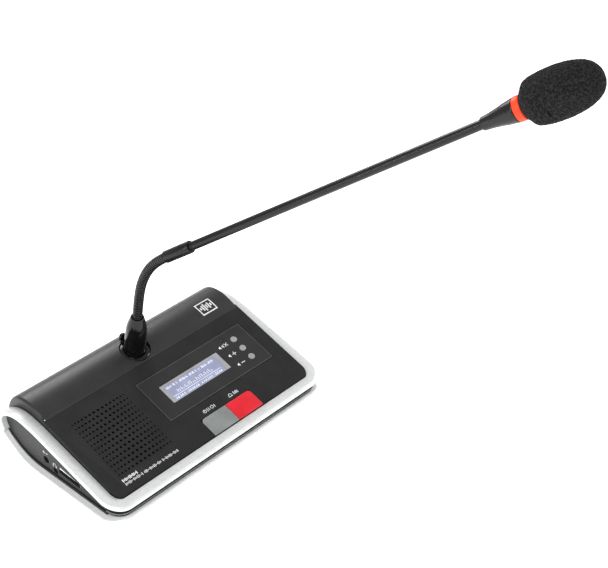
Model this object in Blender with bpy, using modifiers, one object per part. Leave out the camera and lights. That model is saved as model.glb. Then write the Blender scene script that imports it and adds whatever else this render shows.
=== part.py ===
"""A wireless gooseneck conference microphone: a wedge base with a panel, and a plug-in neck with its head.

+X is the talker's right, +Y points away from the talker, +Z is up. The origin is on the desk, under the
middle of the base. Lengths in this file are millimetres, and every mesh is written in metres.
"""

import math

import bmesh
import bpy
from mathutils import Matrix, Vector

MM = 0.001
GAP = 0.35

# Base
TRIM_HALF_WIDTH = 108.8
TRIM_INNER_HALF_WIDTH = 100.05
TRIM_THICKNESS = 3.7
TRIM_EDGE_ROLL = 1.85
BODY_HALF_WIDTH = 99.7
FRONT_Y = -51.5
BODY_FRONT_Y = -44.94
CORNER_CENTRE = (93.8, -36.5)
WALL = 2.4
BASE_BOTTOM_Z = 1.5
SIDE_PANEL_X = 104.5
TRIM_SLOPE = 0.3057
TRIM_SLOPE_Z0 = 30.4

# Control panel: x and v run along it, h stands out from it
PANEL_SLOPE = math.radians(19.2)
PANEL_ZERO = (0.0, -43.24, 19.17)
PANEL_FRONT_V = -1.8
CREASE = (36.4, 46.9)
OVERLAY = (-23.0, 86.2, 27.5, 69.4)
WINDOW = (-9.5, 50.8, 39.1, 57.3)
GRILLE = (-86.2, -32.6, 12.2, 72.4)
BUTTONS = {
    "mute_button": (72.1, 58.8),
    "volume_up_button": (72.1, 48.0),
    "volume_down_button": (72.1, 37.5),
}
BUTTON_RADIUS = 2.8
ON_OFF_KEY = (-4.4, 20.7, 14.2)
PRIORITY_KEY = (21.0, 46.4, 14.1)
KEY_CORNER = 3.0
SWITCHES = {
    "mute_switch": (72.1, 58.8),
    "volume_up_switch": (72.1, 48.0),
    "volume_down_switch": (72.1, 37.5),
    "on_off_switch": (8.2, 7.2),
    "priority_switch": (33.7, 7.2),
}
BOARD_TOP_H = -10.6
LED_AT = (63.5, 64.2)
SPEAKER_AT = (-59.4, 42.3)

# Left side sockets, as (y, z)
DC_AT = (33.6, 13.8)
PHONES_AT = (23.1, 9.0)

# Neck: the socket axis leans forward, and the tube also turns to the right
SOCKET_ZERO = Vector((0.0, 49.4, 48.2))
SOCKET_AXIS = Vector((0.0, -0.23806, 0.97125)).normalized()
TUBE_AXIS = Vector((0.32548, -0.78621, 0.52529)).normalized()
TUBE_ZERO = Vector((15.869, -10.662, 162.459))
SLEEVE_LENGTH = 39.6
NECK_RADIUS = 3.9
NECK_JOINTS = [
    (4.5, 0.0),
    (14.5, 0.0),
    (24.38, 0.24),
    (34.3, 1.06),
    (43.91, 3.09),
    (53.22, 6.27),
    (61.18, 11.05),
    (68.51, 17.31),
]
TUBE_RADIUS = 3.37
TUBE_START = 4.5
TUBE_END = 256.0
HEAD_START = 248.8
RING_START = 273.4
RING_END = 277.9
FOAM_END = 330.75

TOP_CURVE = [
    (36.4, 46.9), (44.0, 50.7), (50.0, 52.9), (56.0, 54.0), (62.0, 54.0), (68.0, 52.6),
    (74.0, 49.2), (79.0, 44.2), (83.0, 37.5), (84.8, 30.0), (84.6, 24.5), (83.4, 19.0),
]
TRIM_TOP_CURVE = [
    (36.4, 41.53), (46.5, 43.6), (52.5, 44.6), (57.0, 44.9), (62.0, 44.5), (68.0, 43.1),
    (73.3, 41.0), (79.0, 37.5), (82.8, 33.0), (84.0, 28.0), (83.3, 22.5), (81.9, 18.9),
]
TRIM_BOTTOM_CURVE = [
    (81.6, 18.2), (79.3, 15.4), (76.0, 12.7), (71.0, 9.4), (65.2, 6.3), (57.0, 3.5),
    (48.2, 1.84), (42.0, 1.5),
]

SLOTS = {
    "matt_black": ((0.028, 0.028, 0.028), 0.0, 0.62),
    "satin_black": ((0.045, 0.046, 0.045), 0.0, 0.42),
    "neck_black": ((0.045, 0.045, 0.046), 0.0, 0.38),
    "silver_trim": ((0.80, 0.81, 0.80), 0.9, 0.28),
    "dark_side": ((0.09, 0.095, 0.09), 0.2, 0.45),
    "gloss_black": ((0.010, 0.010, 0.010), 0.0, 0.12),
    "red_key": ((0.85, 0.03, 0.04), 0.0, 0.35),
    "grey_key": ((0.30, 0.32, 0.34), 0.0, 0.4),
    "button_grey": ((0.38, 0.40, 0.40), 0.0, 0.45),
    "display_lens": ((0.66, 0.68, 0.82), 0.0, 0.15),
    "glow_red": ((1.0, 0.12, 0.03), 0.0, 0.2),
    "foam_black": ((0.012, 0.012, 0.012), 0.0, 0.95),
    "board_green": ((0.02, 0.13, 0.05), 0.0, 0.5),
    "bright_metal": ((0.62, 0.62, 0.62), 1.0, 0.3),
    "capsule_metal": ((0.55, 0.55, 0.56), 1.0, 0.35),
    "rubber_black": ((0.02, 0.02, 0.02), 0.0, 0.85),
    "paper_cone": ((0.06, 0.06, 0.06), 0.0, 0.8),
    "cell_wrap": ((0.03, 0.10, 0.28), 0.0, 0.35),
}


def clear_scene():
    for obj in list(bpy.data.objects):
        bpy.data.objects.remove(obj, do_unlink=True)


def new_collection(name):
    made = bpy.data.collections.new(name)
    bpy.context.scene.collection.children.link(made)
    return made


def make_material(slot, piece):
    """One Principled material for this piece, in the finish of its slot."""
    colour, metallic, roughness = SLOTS[slot]
    made = bpy.data.materials.new(f"{slot}.{piece}")
    made.use_nodes = True
    shader = made.node_tree.nodes["Principled BSDF"]
    shader.inputs["Base Color"].default_value = (*colour, 1.0)
    shader.inputs["Metallic"].default_value = metallic
    shader.inputs["Roughness"].default_value = roughness
    return made


def keep_part(obj, slot, smooth=False):
    """Puts the object with the finished pieces."""
    PARTS.objects.link(obj)
    obj.data.materials.append(make_material(slot, obj.name))
    if smooth:
        obj.data.shade_smooth()
    return obj


def keep_helper(obj):
    """Puts the object with the cutters and guides, which aren't part of the model."""
    HELPERS.objects.link(obj)
    obj.hide_render = True
    obj.display_type = "WIRE"
    return obj


def object_from(name, bm):
    bmesh.ops.recalc_face_normals(bm, faces=bm.faces)
    mesh = bpy.data.meshes.new(name)
    bm.to_mesh(mesh)
    bm.free()
    return bpy.data.objects.new(name, mesh)


def sections(name, rings):
    """A closed body through a row of equal rings of points, with its two ends filled."""
    bm = bmesh.new()
    made = [[bm.verts.new(Vector(p) * MM) for p in ring] for ring in rings]
    count = len(made[0])
    for lower, upper in zip(made, made[1:]):
        for i in range(count):
            j = (i + 1) % count
            bm.faces.new((lower[i], lower[j], upper[j], upper[i]))
    bm.faces.new(made[0])
    bm.faces.new(made[-1])
    return object_from(name, bm)


def prism(name, outline, axis, low, high):
    """The flat outline extruded along X, Y or Z."""
    place = {
        "X": lambda a, b, t: (t, a, b),
        "Y": lambda a, b, t: (a, t, b),
        "Z": lambda a, b, t: (a, b, t),
    }[axis]
    return sections(name, [[place(a, b, t) for a, b in outline] for t in (low, high)])


def box(name, low, high):
    corners = [(low[0], low[1]), (high[0], low[1]), high[:2], (low[0], high[1])]
    return prism(name, corners, "Z", low[2], high[2])


def rounded_rectangle(x0, x1, y0, y1, radius, steps=4):
    points = []
    for cx, cy, start in ((x1, y1, 0), (x0, y1, 90), (x0, y0, 180), (x1, y0, 270)):
        sx = cx - radius if start in (0, 270) else cx + radius
        sy = cy - radius if start in (0, 90) else cy + radius
        for k in range(steps + 1):
            turn = math.radians(start + 90 * k / steps)
            points.append((sx + radius * math.cos(turn), sy + radius * math.sin(turn)))
    return points


def turned(name, profile, zero, axis, steps=32):
    """The profile of (radius, height), down its outer side, turned about the axis through zero."""
    mesh = bpy.data.meshes.new(name)
    closed = profile[0][0] > 0
    edges = [(i, i + 1) for i in range(len(profile) - 1)]
    if closed:
        edges.append((len(profile) - 1, 0))
    mesh.from_pydata([(r * MM, 0, h * MM) for r, h in profile], edges, [])
    obj = bpy.data.objects.new(name, mesh)
    screw = obj.modifiers.new("Turn", "SCREW")
    screw.steps = steps
    screw.render_steps = steps
    screw.use_merge_vertices = True
    screw.merge_threshold = 0.00001
    turn = Vector((0, 0, 1)).rotation_difference(Vector(axis))
    obj.matrix_world = Matrix.Translation(Vector(zero) * MM) @ turn.to_matrix().to_4x4()
    return obj


def boolean(obj, other, operation):
    step = obj.modifiers.new(operation.title(), "BOOLEAN")
    step.operation = operation
    step.solver = "EXACT"
    step.object = keep_helper(other)


def cut(obj, *cutters):
    for cutter in cutters:
        boolean(obj, cutter, "DIFFERENCE")


def join(obj, *others):
    for other in others:
        boolean(obj, other, "UNION")


def move_points(obj, matrix):
    """Turns and moves the mesh itself, so that the object's own matrix stays free for its origin."""
    obj.data.transform(matrix)
    return obj


def set_origin(obj, point):
    """Moves the origin to the point, in millimetres, and leaves the shape where it is."""
    offset = Vector(point) * MM
    obj.data.transform(Matrix.Translation(-offset))
    obj.matrix_world = Matrix.Translation(offset)
    return obj


def panel_matrix():
    turn = Matrix.Rotation(PANEL_SLOPE, 4, "X")
    return Matrix.Translation(Vector(PANEL_ZERO) * MM) @ turn


def panel_point(x, v, h):
    return (panel_matrix() @ (Vector((x, v, h)) * MM)) / MM


def on_panel(obj):
    return move_points(obj, panel_matrix())


def panel_normal():
    return Vector((0, -math.sin(PANEL_SLOPE), math.cos(PANEL_SLOPE)))


def smooth_curve(points, per_span=2):
    """A Catmull-Rom curve through the points."""
    ends = [points[0], *points, points[-1]]
    made = []
    for a, b, c, d in zip(ends, ends[1:], ends[2:], ends[3:]):
        for k in range(per_span):
            t = k / per_span
            point = []
            for p, q, r, s in zip(a, b, c, d):
                bend = (2 * p - 5 * q + 4 * r - s) * t**2 + (3 * q - p - 3 * r + s) * t**3
                point.append(0.5 * (2 * q + (r - p) * t + bend))
            made.append(tuple(point))
    made.append(points[-1])
    return made


def inset(outline, amounts):
    """The clockwise outline with each corner moved inwards along its mitre by its own amount."""
    made = []
    count = len(outline)
    for i, (a, b) in enumerate(outline):
        before = Vector(outline[i]) - Vector(outline[i - 1])
        after = Vector(outline[(i + 1) % count]) - Vector(outline[i])
        n1 = Vector((before.y, -before.x)).normalized()
        n2 = Vector((after.y, -after.x)).normalized()
        mitre = (n1 + n2) / max(0.35, 1 + n1.dot(n2))
        made.append((a + mitre.x * amounts[i], b + mitre.y * amounts[i]))
    return made


def plan_outline(half_width, corner_x, corner_y, rear, steps=6):
    """A plan with elliptical front corners about CORNER_CENTRE."""
    cx, cy = CORNER_CENTRE
    right = []
    for k in range(steps + 1):
        turn = math.radians(90 * k / steps)
        right.append((cx + corner_x * math.sin(turn), cy - corner_y * math.cos(turn)))
    left = [(-x, y) for x, y in reversed(right)]
    return [(-half_width, rear), *left, *right, (half_width, rear)]


def trim_top(y):
    return TRIM_SLOPE_Z0 + y * TRIM_SLOPE


def body_profile():
    """The clockwise outline of the black top, seen from the right, down to the parting line."""
    front = [(BODY_FRONT_Y, 12.4), (BODY_FRONT_Y, 18.58)]
    return front + smooth_curve(TOP_CURVE)


def domed_slab(name, outline, radii, half_width, steps=4):
    """The outline extruded along X, with each corner of its ends rounded by its own radius."""
    rings = []
    for side in (-1, 1):
        turns = [math.radians(90 * k / steps) for k in range(steps + 1)]
        for turn in turns if side > 0 else reversed(turns):
            drawn_in = inset(outline, [r * (1 - math.cos(turn)) for r in radii])
            rings.append(
                [
                    (side * (half_width - r * (1 - math.sin(turn))), y, z)
                    for (y, z), r in zip(drawn_in, radii)
                ]
            )
    return sections(name, rings)


def panel_box(name, x0, x1, v0, v1, h0, h1):
    return on_panel(box(name, (x0, v0, h0), (x1, v1, h1)))


def panel_rounded(name, x0, x1, v0, v1, radius, h0, h1):
    return on_panel(prism(name, rounded_rectangle(x0, x1, v0, v1, radius), "Z", h0, h1))


def panel_hole(name, x, v, radius, h0, h1):
    profile = [(0, h1), (radius, h1), (radius, h0), (0, h0)]
    return turned(name, profile, panel_point(x, v, 0), panel_normal(), 20)


def socket_hole(name, radius, low, high):
    profile = [(0, high), (radius, high), (radius, low), (0, low)]
    return turned(name, profile, SOCKET_ZERO, SOCKET_AXIS, 32)


def post(name, x, y, low, high, radius, steps=16):
    profile = [(0, high), (radius, high), (radius, low), (0, low)]
    return turned(name, profile, (x, y, 0), (0, 0, 1), steps)


SCREWS = {
    "housing_screw_a": (-88.0, -33.0),
    "housing_screw_b": (88.0, -33.0),
    "housing_screw_c": (-88.0, 44.5),
    "housing_screw_d": (88.0, 44.5),
}


def side_hole(name, at, radius, x0=-110.0, x1=-80.0, steps=20):
    profile = [(0, x1 - x0), (radius, x1 - x0), (radius, 0), (0, 0)]
    return turned(name, profile, (x0, *at), (1, 0, 0), steps)


def connector_outline(margin):
    front = [(-6.6 - margin, 12.4 + margin), (-6.2 - margin, 8.7 - margin)]
    return [(18.5 + margin, 10.0 - margin), (18.2 + margin, 16.0 + margin), *front]


def cut_side_openings(obj, tag):
    cut(obj, side_hole(f"{tag}_dc_opening", DC_AT, 3.2))
    cut(obj, side_hole(f"{tag}_phones_opening", PHONES_AT, 2.6))
    cut(obj, prism(f"{tag}_connector_opening", connector_outline(0.0), "X", -110, -80))


def build_top_housing():
    outline = body_profile()
    radii = [0.0, 0.6] + [0.6 if y < CREASE[0] + 1 else 2.4 for y, _ in outline[2:]]
    radii[-1] = 0.0
    obj = domed_slab("top_housing", outline, radii, BODY_HALF_WIDTH)
    cavity = inset(outline, [WALL] * len(outline))
    lowered = [(cavity[0][0], 5.0), *cavity[1:-1], (cavity[-1][0], 5.0)]
    cut(obj, prism("top_cavity", lowered, "X", -BODY_HALF_WIDTH + WALL, BODY_HALF_WIDTH - WALL))
    for screw, (x, y) in SCREWS.items():
        top = 21.4 + (y + 33.0) * math.tan(PANEL_SLOPE)
        join(obj, post(f"{screw}_top_boss", x, y, 15.0, top, 4.0))
        cut(obj, post(f"{screw}_pilot", x, y, 10.0, 19.0, 1.55))
    join(obj, panel_box("key_floor", -8, 53, 0.8, 19, -4.2, -2.2))
    keep_front = prism("top_plan", plan_outline(BODY_HALF_WIDTH, 5.9, 8.44, 120), "Z", -20, 90)
    boolean(obj, keep_front, "INTERSECT")
    x0, x1, v0, v1 = OVERLAY
    cut(obj, panel_rounded("overlay_pocket", x0 - GAP, x1 + GAP, v0 - GAP, v1 + GAP, 0.95, -0.85, 3))
    x0, x1, v0, v1 = WINDOW
    cut(obj, panel_box("display_opening", x0 + 1.6, x1 - 1.6, v0 + 1.6, v1 - 1.6, -6, 2))
    x0, x1, v0, v1 = GRILLE
    cut(obj, panel_box("grille_opening", x0 + 2, x1 - 2, v0 + 2, v1 - 2, -6, 2))
    cut(obj, panel_box("grille_pocket", x0 - GAP, x1 + GAP, v0 - GAP, v1 + GAP, -1.5, 2))
    for name, (x, v) in BUTTONS.items():
        cut(obj, panel_hole(f"{name}_opening", x, v, BUTTON_RADIUS + GAP, -6, 2))
    cut(obj, panel_hole("led_opening", *LED_AT, 1.6, -6, 2))
    cut(obj, panel_box("key_opening", ON_OFF_KEY[0] - GAP, PRIORITY_KEY[1] + GAP, -6, 14.55, -2.0, 4))
    for name in ("on_off_switch", "priority_switch"):
        x, v = SWITCHES[name]
        cut(obj, panel_box(f"{name}_opening", x - 3.4, x + 3.4, v - 2.4, v + 2.4, -8, 4))
    cut(obj, socket_hole("flange_seat", 12.6, 0.65, 20))
    cut(obj, socket_hole("socket_opening", 10.4, -20, 20))
    cut(obj, box("latch_slot", (-2.2, 61.6, 40), (2.2, 65.6, 70)))
    cut_side_openings(obj, "top")
    return keep_part(obj, "matt_black")


def build_bottom_housing():
    outline = [(BODY_FRONT_Y, BASE_BOTTOM_Z), (BODY_FRONT_Y, 12.05), (82.9, 18.6), (79.6, 15.2)]
    outline += [(76.1, 12.4), (71.0, 9.2), (65.2, 6.3), (57.0, 3.5), (48.2, 1.84), (42.0, BASE_BOTTOM_Z)]
    obj = prism("bottom_housing", outline, "X", -BODY_HALF_WIDTH, BODY_HALF_WIDTH)
    cavity = inset(outline, [WALL] * len(outline))
    cavity[1] = (cavity[1][0], 30.0)
    cavity[2] = (cavity[2][0], 30.0)
    cut(obj, prism("bottom_cavity", cavity, "X", -BODY_HALF_WIDTH + WALL, BODY_HALF_WIDTH - WALL))
    for screw, (x, y) in SCREWS.items():
        join(obj, post(f"{screw}_bottom_boss", x, y, 2.5, 12.0, 5.0))
    plan = plan_outline(BODY_HALF_WIDTH, 5.9, 8.44, 120)
    boolean(obj, prism("bottom_plan", plan, "Z", -20, 90), "INTERSECT")
    for screw, (x, y) in SCREWS.items():
        cut(obj, post(f"{screw}_counterbore", x, y, -2.0, 8.0, 3.2))
        cut(obj, post(f"{screw}_clearance", x, y, 5.0, 14.0, 1.75))
    recess = prism("mat_recess", rounded_rectangle(-80.4, 80.4, -35.4, 35.4, 6.4), "Z", -2, 2.15)
    cut(obj, recess)
    cut_side_openings(obj, "bottom")
    return keep_part(obj, "satin_black")


def build_desk_mat():
    outline = rounded_rectangle(-80, 80, -35, 35, 6)
    return keep_part(prism("desk_mat", outline, "Z", 0, 1.8), "rubber_black")


def trim_outline():
    top = smooth_curve(TRIM_TOP_CURVE)
    bottom = smooth_curve(TRIM_BOTTOM_CURVE)
    return [(FRONT_Y, BASE_BOTTOM_Z), (FRONT_Y, trim_top(FRONT_Y))], top, bottom


def ribbon(name, stations):
    """A band with a rounded outer edge, through stations of inner edge, outer edge and inner offset."""
    rings = []
    for inner, outer, drop in stations:
        inward = (inner - outer).normalized()
        ring = [inner, outer + inward * TRIM_EDGE_ROLL]
        for k in range(1, 6):
            turn = math.radians(30 * k)
            share = 0.5 * (1 - math.cos(turn))
            ring.append(outer + inward * TRIM_EDGE_ROLL * (1 - math.sin(turn)) + drop * share)
        ring.append(outer + inward * TRIM_EDGE_ROLL + drop)
        ring.append(inner + drop)
        rings.append(ring)
    return sections(name, rings)


def trim_stations(curve, faces, height, drop_front):
    """Stations from the right rear, round the front and back to the left rear."""
    cx, cy = CORNER_CENTRE
    side = []
    for (y, z), (y_in, z_in) in zip(curve, faces):
        drop = Vector((0, y_in - y, z_in - z))
        side.append((Vector((TRIM_INNER_HALF_WIDTH, y, z)), Vector((TRIM_HALF_WIDTH, y, z)), drop))
    drop_side = side[-1][2]
    for k in range(9):
        turn = math.radians(90 - 90 * k / 8)
        ends = []
        for rx, ry in ((TRIM_INNER_HALF_WIDTH - cx, 8.8), (TRIM_HALF_WIDTH - cx, cy - FRONT_Y)):
            y = cy - ry * math.cos(turn)
            ends.append(Vector((cx + rx * math.sin(turn), y, height(y))))
        side.append((*ends, drop_side.lerp(drop_front, math.cos(turn))))
    flip = Vector((-1, 1, 1))
    return side + [tuple(p * flip for p in station) for station in reversed(side)]


def build_trims():
    front, top, bottom = trim_outline()
    outline = front + top + bottom
    faces = inset(outline, [TRIM_THICKNESS] * len(outline))
    slope = math.hypot(1, TRIM_SLOPE)
    top_path = list(reversed(top))
    top_faces = list(reversed(faces[2 : 2 + len(top)]))
    top_faces[-1] = (
        top[0][0] + TRIM_THICKNESS * TRIM_SLOPE / slope,
        top[0][1] - TRIM_THICKNESS / slope,
    )
    upper = trim_stations(top_path, top_faces, trim_top, Vector((0, 0, -4.2)))
    obj = ribbon("upper_trim", upper)
    keep_part(obj, "silver_trim", smooth=False)
    bottom_faces = faces[2 + len(top) :]
    bottom_faces[-1] = (bottom[-1][0], BASE_BOTTOM_Z + TRIM_THICKNESS)
    rise = Vector((0, 0, TRIM_THICKNESS))
    lower = trim_stations(bottom, bottom_faces, lambda y: BASE_BOTTOM_Z, rise)
    return keep_part(ribbon("lower_trim", lower), "silver_trim")


def build_side_panels():
    front, top, bottom = trim_outline()
    outline = front + top + bottom
    margin = TRIM_THICKNESS + GAP
    y_front = CORNER_CENTRE[1] + GAP
    drop = margin * math.hypot(1, TRIM_SLOPE)
    for name, side, depth in (("left_side_panel", -1, margin), ("right_side_panel", 1, margin)):
        edge = inset(outline, [depth] * len(outline))
        edge[0] = (y_front, BASE_BOTTOM_Z + depth)
        edge[1] = (y_front, trim_top(y_front) - drop)
        low, high = sorted((side * TRIM_INNER_HALF_WIDTH, side * SIDE_PANEL_X))
        obj = prism(name, edge, "X", low, high)
        hollow = inset(edge, [2.0] * len(edge))
        back, face = sorted((side * (TRIM_INNER_HALF_WIDTH - 2), side * (SIDE_PANEL_X - 2.2)))
        cut(obj, prism(f"{name}_hollow", hollow, "X", back, face))
        if side < 0:
            cut_side_openings(obj, "panel")
        keep_part(obj, "dark_side")


def build_front_fascia():
    outer = plan_outline(SIDE_PANEL_X, 10.7, 13.1, 0)[1:-1]
    inner = plan_outline(SIDE_PANEL_X - 2.3, 8.4, 10.8, 0)[1:-1]
    obj = prism("front_fascia", outer + inner[::-1], "Z", BASE_BOTTOM_Z + TRIM_THICKNESS + GAP, 25)
    drop = 4.2 + GAP
    above = [(-60, trim_top(-60) - drop), (-60, 60), (0, 60), (0, trim_top(0) - drop)]
    cut(obj, prism("fascia_top_cut", above, "X", -120, 120))
    return keep_part(obj, "gloss_black")


def build_overlay():
    x0, x1, v0, v1 = OVERLAY
    obj = panel_rounded("control_overlay", x0, x1, v0, v1, 0.6, -0.5, 0.12)
    x0, x1, v0, v1 = WINDOW
    cut(obj, panel_box("overlay_window", x0 - GAP, x1 + GAP, v0 - GAP, v1 + GAP, -3, 3))
    for name, (x, v) in BUTTONS.items():
        cut(obj, panel_hole(f"{name}_overlay_hole", x, v, BUTTON_RADIUS + GAP, -3, 3))
    cut(obj, panel_hole("overlay_led_hole", *LED_AT, 1.6, -3, 3))
    return keep_part(obj, "satin_black")


def build_display():
    x0, x1, v0, v1 = WINDOW
    keep_part(panel_box("display_window", x0, x1, v0, v1, -0.5, 0.05), "display_lens")
    obj = panel_box("display_module", -14, 55.5, 36, 61.6, -7.5, -2.8)
    join(obj, panel_box("display_glass", x0 + 2.0, x1 - 2.0, v0 + 2.0, v1 - 2.0, -4, -1.2))
    return keep_part(obj, "gloss_black")


def build_speaker():
    x0, x1, v0, v1 = GRILLE
    obj = panel_box("speaker_grille", x0, x1, v0, v1, -1.15, 0.0)
    for i in range(6):
        for j in range(7):
            x = -59.4 + (i - 2.5) * 7.8
            v = 42.3 + (j - 3) * 8.4
            profile = [(0, 2), (1.2, 2), (1.2, -3), (0, -3)]
            cut(obj, turned(f"hole_{i}_{j}", profile, panel_point(x, v, 0), panel_normal(), 6))
    keep_part(obj, "matt_black")
    zero = panel_point(*SPEAKER_AT, 0)
    frame = [
        (23.0, -2.9), (25.4, -2.9), (25.4, -4.0), (22.8, -6.0), (14.5, -13.0), (14.5, -19.5),
        (4.0, -19.5), (4.0, -13.6), (12.6, -13.6), (21.6, -6.4), (23.0, -5.2),
    ]
    keep_part(turned("speaker_frame", frame, zero, panel_normal(), 32), "bright_metal")
    cone = [
        (0, -7.4), (3.5, -8.2), (6.5, -10.4), (18.5, -5.2), (20.0, -3.6), (21.6, -4.6), (22.4, -4.4),
        (22.4, -5.2), (21.4, -5.4), (20.0, -4.6), (18.8, -6.0), (6.5, -11.3), (0, -11.3),
    ]
    return keep_part(turned("speaker_cone", cone, zero, panel_normal(), 32), "paper_cone")


def build_button(name, slot):
    x, v = BUTTONS[name]
    profile = [
        (0, 0.95), (2.1, 0.9), (2.6, 0.7), (BUTTON_RADIUS, 0.3), (BUTTON_RADIUS, -2.8), (3.9, -2.8),
        (3.9, -3.7), (1.3, -3.7), (1.3, -4.8), (0, -4.8),
    ]
    obj = turned(name, profile, panel_point(x, v, 0), panel_normal(), 24)
    return keep_part(obj, slot)


def build_key(name, span, rounded_side, switch, slot):
    """A key over the front edge of the panel, with a rounded outer corner and a stem for its switch."""
    x0, x1, v1 = span
    radius = KEY_CORNER
    corner = x0 if rounded_side < 0 else x1
    arc = []
    for k in range(6):
        turn = math.radians(90 * k / 5)
        drawn_in = radius * (1 - math.cos(turn))
        arc.append((corner - rounded_side * drawn_in, v1 - radius * (1 - math.sin(turn))))
    far = x1 if rounded_side < 0 else x0
    obj = prism(name, [(corner, -2.6), *arc, (far, v1), (far, -2.6)], "Z", -1.0, 0.75)
    x, v = SWITCHES[switch]
    join(obj, box(f"{name}_stem", (x - 3, v - 2, -4.8), (x + 3, v + 2, -0.6)))
    on_panel(obj)
    on_panel(obj.modifiers["Union"].object)
    set_origin(obj, panel_point(x, v, 0))
    return keep_part(obj, slot)


def build_switches():
    for name, (x, v) in SWITCHES.items():
        obj = box(name, (x - 3, v - 3, BOARD_TOP_H + GAP), (x + 3, v + 3, -6.6))
        join(obj, post(f"{name}_plunger", x, v, -8.0, -5.7, 1.6, 12))
        on_panel(obj)
        plunger = obj.modifiers["Union"].object
        plunger.matrix_world = panel_matrix() @ plunger.matrix_world
        keep_part(obj, "satin_black")


def build_led():
    profile = [
        (0, 0.35), (0.7, 0.25), (1.2, -0.1), (1.2, -2.9), (2.2, -2.9), (2.2, -4.0), (0.8, -4.0),
        (0.8, -10.2), (0, -10.2),
    ]
    obj = turned("mute_led", profile, panel_point(*LED_AT, 0), panel_normal(), 16)
    return keep_part(obj, "glow_red")


def build_electronics():
    board = panel_box("main_board", -28, 82, 2.5, 76, BOARD_TOP_H - 1.6, BOARD_TOP_H)
    keep_part(board, "board_green")
    radio = panel_box("radio_module", 54, 80, 8, 26, BOARD_TOP_H + GAP, -7.6)
    keep_part(radio, "bright_metal")
    keep_part(box("antenna", (50, 73.5, 24), (90, 74.5, 40)), "bright_metal")
    cells = rounded_rectangle(6, 22.5, 4.5, 20.5, 7.5, 3)
    pack = prism("battery_pack", cells, "X", 12, 78)
    keep_part(pack, "cell_wrap")


def build_jack(name, at, bore, pin):
    """A side socket just behind the housing wall, whose opening lets the plug in."""
    y, z = at
    obj = box(name, (-96.9, y - 4, z - 4), (-86, y + 4, z + 4))
    cut(obj, side_hole(f"{name}_bore", at, bore, -98.0, -88.0))
    if pin:
        join(obj, side_hole(f"{name}_pin", at, pin, -95.5, -87.0, 12))
    return keep_part(obj, "gloss_black")


def build_side_connector():
    obj = prism("side_connector", connector_outline(-GAP), "X", -104.1, -88)
    mouth = [(17.2, 11.0), (17.2, 13.2), (-5.2, 11.7), (-5.2, 9.8)]
    cut(obj, prism("connector_mouth", mouth, "X", -110, -96))
    return keep_part(obj, "bright_metal")


def build_socket():
    ring = [(9.0, 3.0), (11.6, 2.6), (12.2, 2.0), (12.2, 1.0), (9.0, 1.0)]
    keep_part(turned("socket_flange", ring, SOCKET_ZERO, SOCKET_AXIS, 40), "gloss_black")
    cup = [
        (0, -21.5), (7.6, -21.5), (7.6, -2.8), (9.0, -2.8), (9.0, 0.5), (10.0, 0.5), (10.0, -24.0),
        (0, -24.0),
    ]
    return keep_part(turned("mic_socket", cup, SOCKET_ZERO, SOCKET_AXIS, 32), "satin_black")


def build_latch():
    arch = []
    for k in range(9):
        turn = math.radians(180 * k / 8)
        arch.append((3.0 * math.cos(turn), 57.2 + 3.0 * math.sin(turn)))
    obj = prism("release_latch", [(3.0, 54.6), *arch, (-3.0, 54.6)], "Y", 61.2, 63.8)
    join(obj, box("latch_stem", (-1.8, 62.0, 47.5), (1.8, 63.4, 55.5)))
    join(obj, box("latch_hook", (-3.2, 62.0, 46.0), (3.2, 63.4, 48.5)))
    set_origin(obj, (0, 62.5, 54.4))
    return keep_part(obj, "gloss_black")


def build_screws():
    for name, (x, y) in SCREWS.items():
        profile = [(0, 17.5), (1.2, 17.2), (1.2, 7.6), (2.6, 7.6), (2.6, 5.9), (2.1, 5.4), (0, 5.4)]
        obj = turned(name, profile, (x, y, 0), (0, 0, 1), 16)
        keep_part(obj, "bright_metal")


def socket_point(height):
    return SOCKET_ZERO + SOCKET_AXIS * height


def build_sleeve_and_plug():
    sleeve = [
        (4.5, 39.6), (4.9, 39.6), (5.25, 39.2), (6.3, 35.6), (7.3, 32.0), (8.0, 28.6), (8.4, 24.0),
        (8.65, 18.6), (8.7, 12.6), (8.6, 6.0), (8.4, 0.0), (8.2, -1.0), (7.9, -2.4), (7.0, -2.4),
        (7.0, 20.0), (6.3, 26.0), (4.5, 31.0),
    ]
    keep_part(turned("cone_sleeve", sleeve, SOCKET_ZERO, SOCKET_AXIS, 40), "gloss_black")
    plug = [
        (0, 20.0), (6.5, 20.0), (6.5, -2.9), (7.2, -2.9), (7.2, -16.0), (6.8, -16.6), (5.6, -16.6),
        (5.6, -8.0), (0, -8.0),
    ]
    obj = turned("mic_plug", plug, SOCKET_ZERO, SOCKET_AXIS, 32)
    sideways = Vector((1, 0, 0))
    for k in range(3):
        turn = math.radians(90 + 120 * k)
        across = sideways * math.cos(turn) + SOCKET_AXIS.cross(sideways) * math.sin(turn)
        profile = [(0, -6.0), (0.8, -6.0), (0.8, -15.0), (0.4, -15.6), (0, -15.6)]
        join(obj, turned(f"pin_{k}", profile, SOCKET_ZERO + across * 3.2, SOCKET_AXIS, 8))
    return keep_part(obj, "bright_metal")


def neck_points():
    """The neck's joint centres, in the plane of the socket axis and the tube axis."""
    across = (TUBE_AXIS - SOCKET_AXIS * TUBE_AXIS.dot(SOCKET_AXIS)).normalized()
    start = socket_point(SLEEVE_LENGTH)
    return [start + SOCKET_AXIS * a + across * b for a, b in NECK_JOINTS]


def link_end(reach):
    """The rounded end of a link, from its axis outwards, that lets the next one tilt without touching it."""
    return [
        (0, reach - 0.17), (1.0, reach - 0.17), (2.9, reach - 0.55), (3.6, reach - 0.85),
        (NECK_RADIUS, reach - 1.2),
    ]


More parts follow.
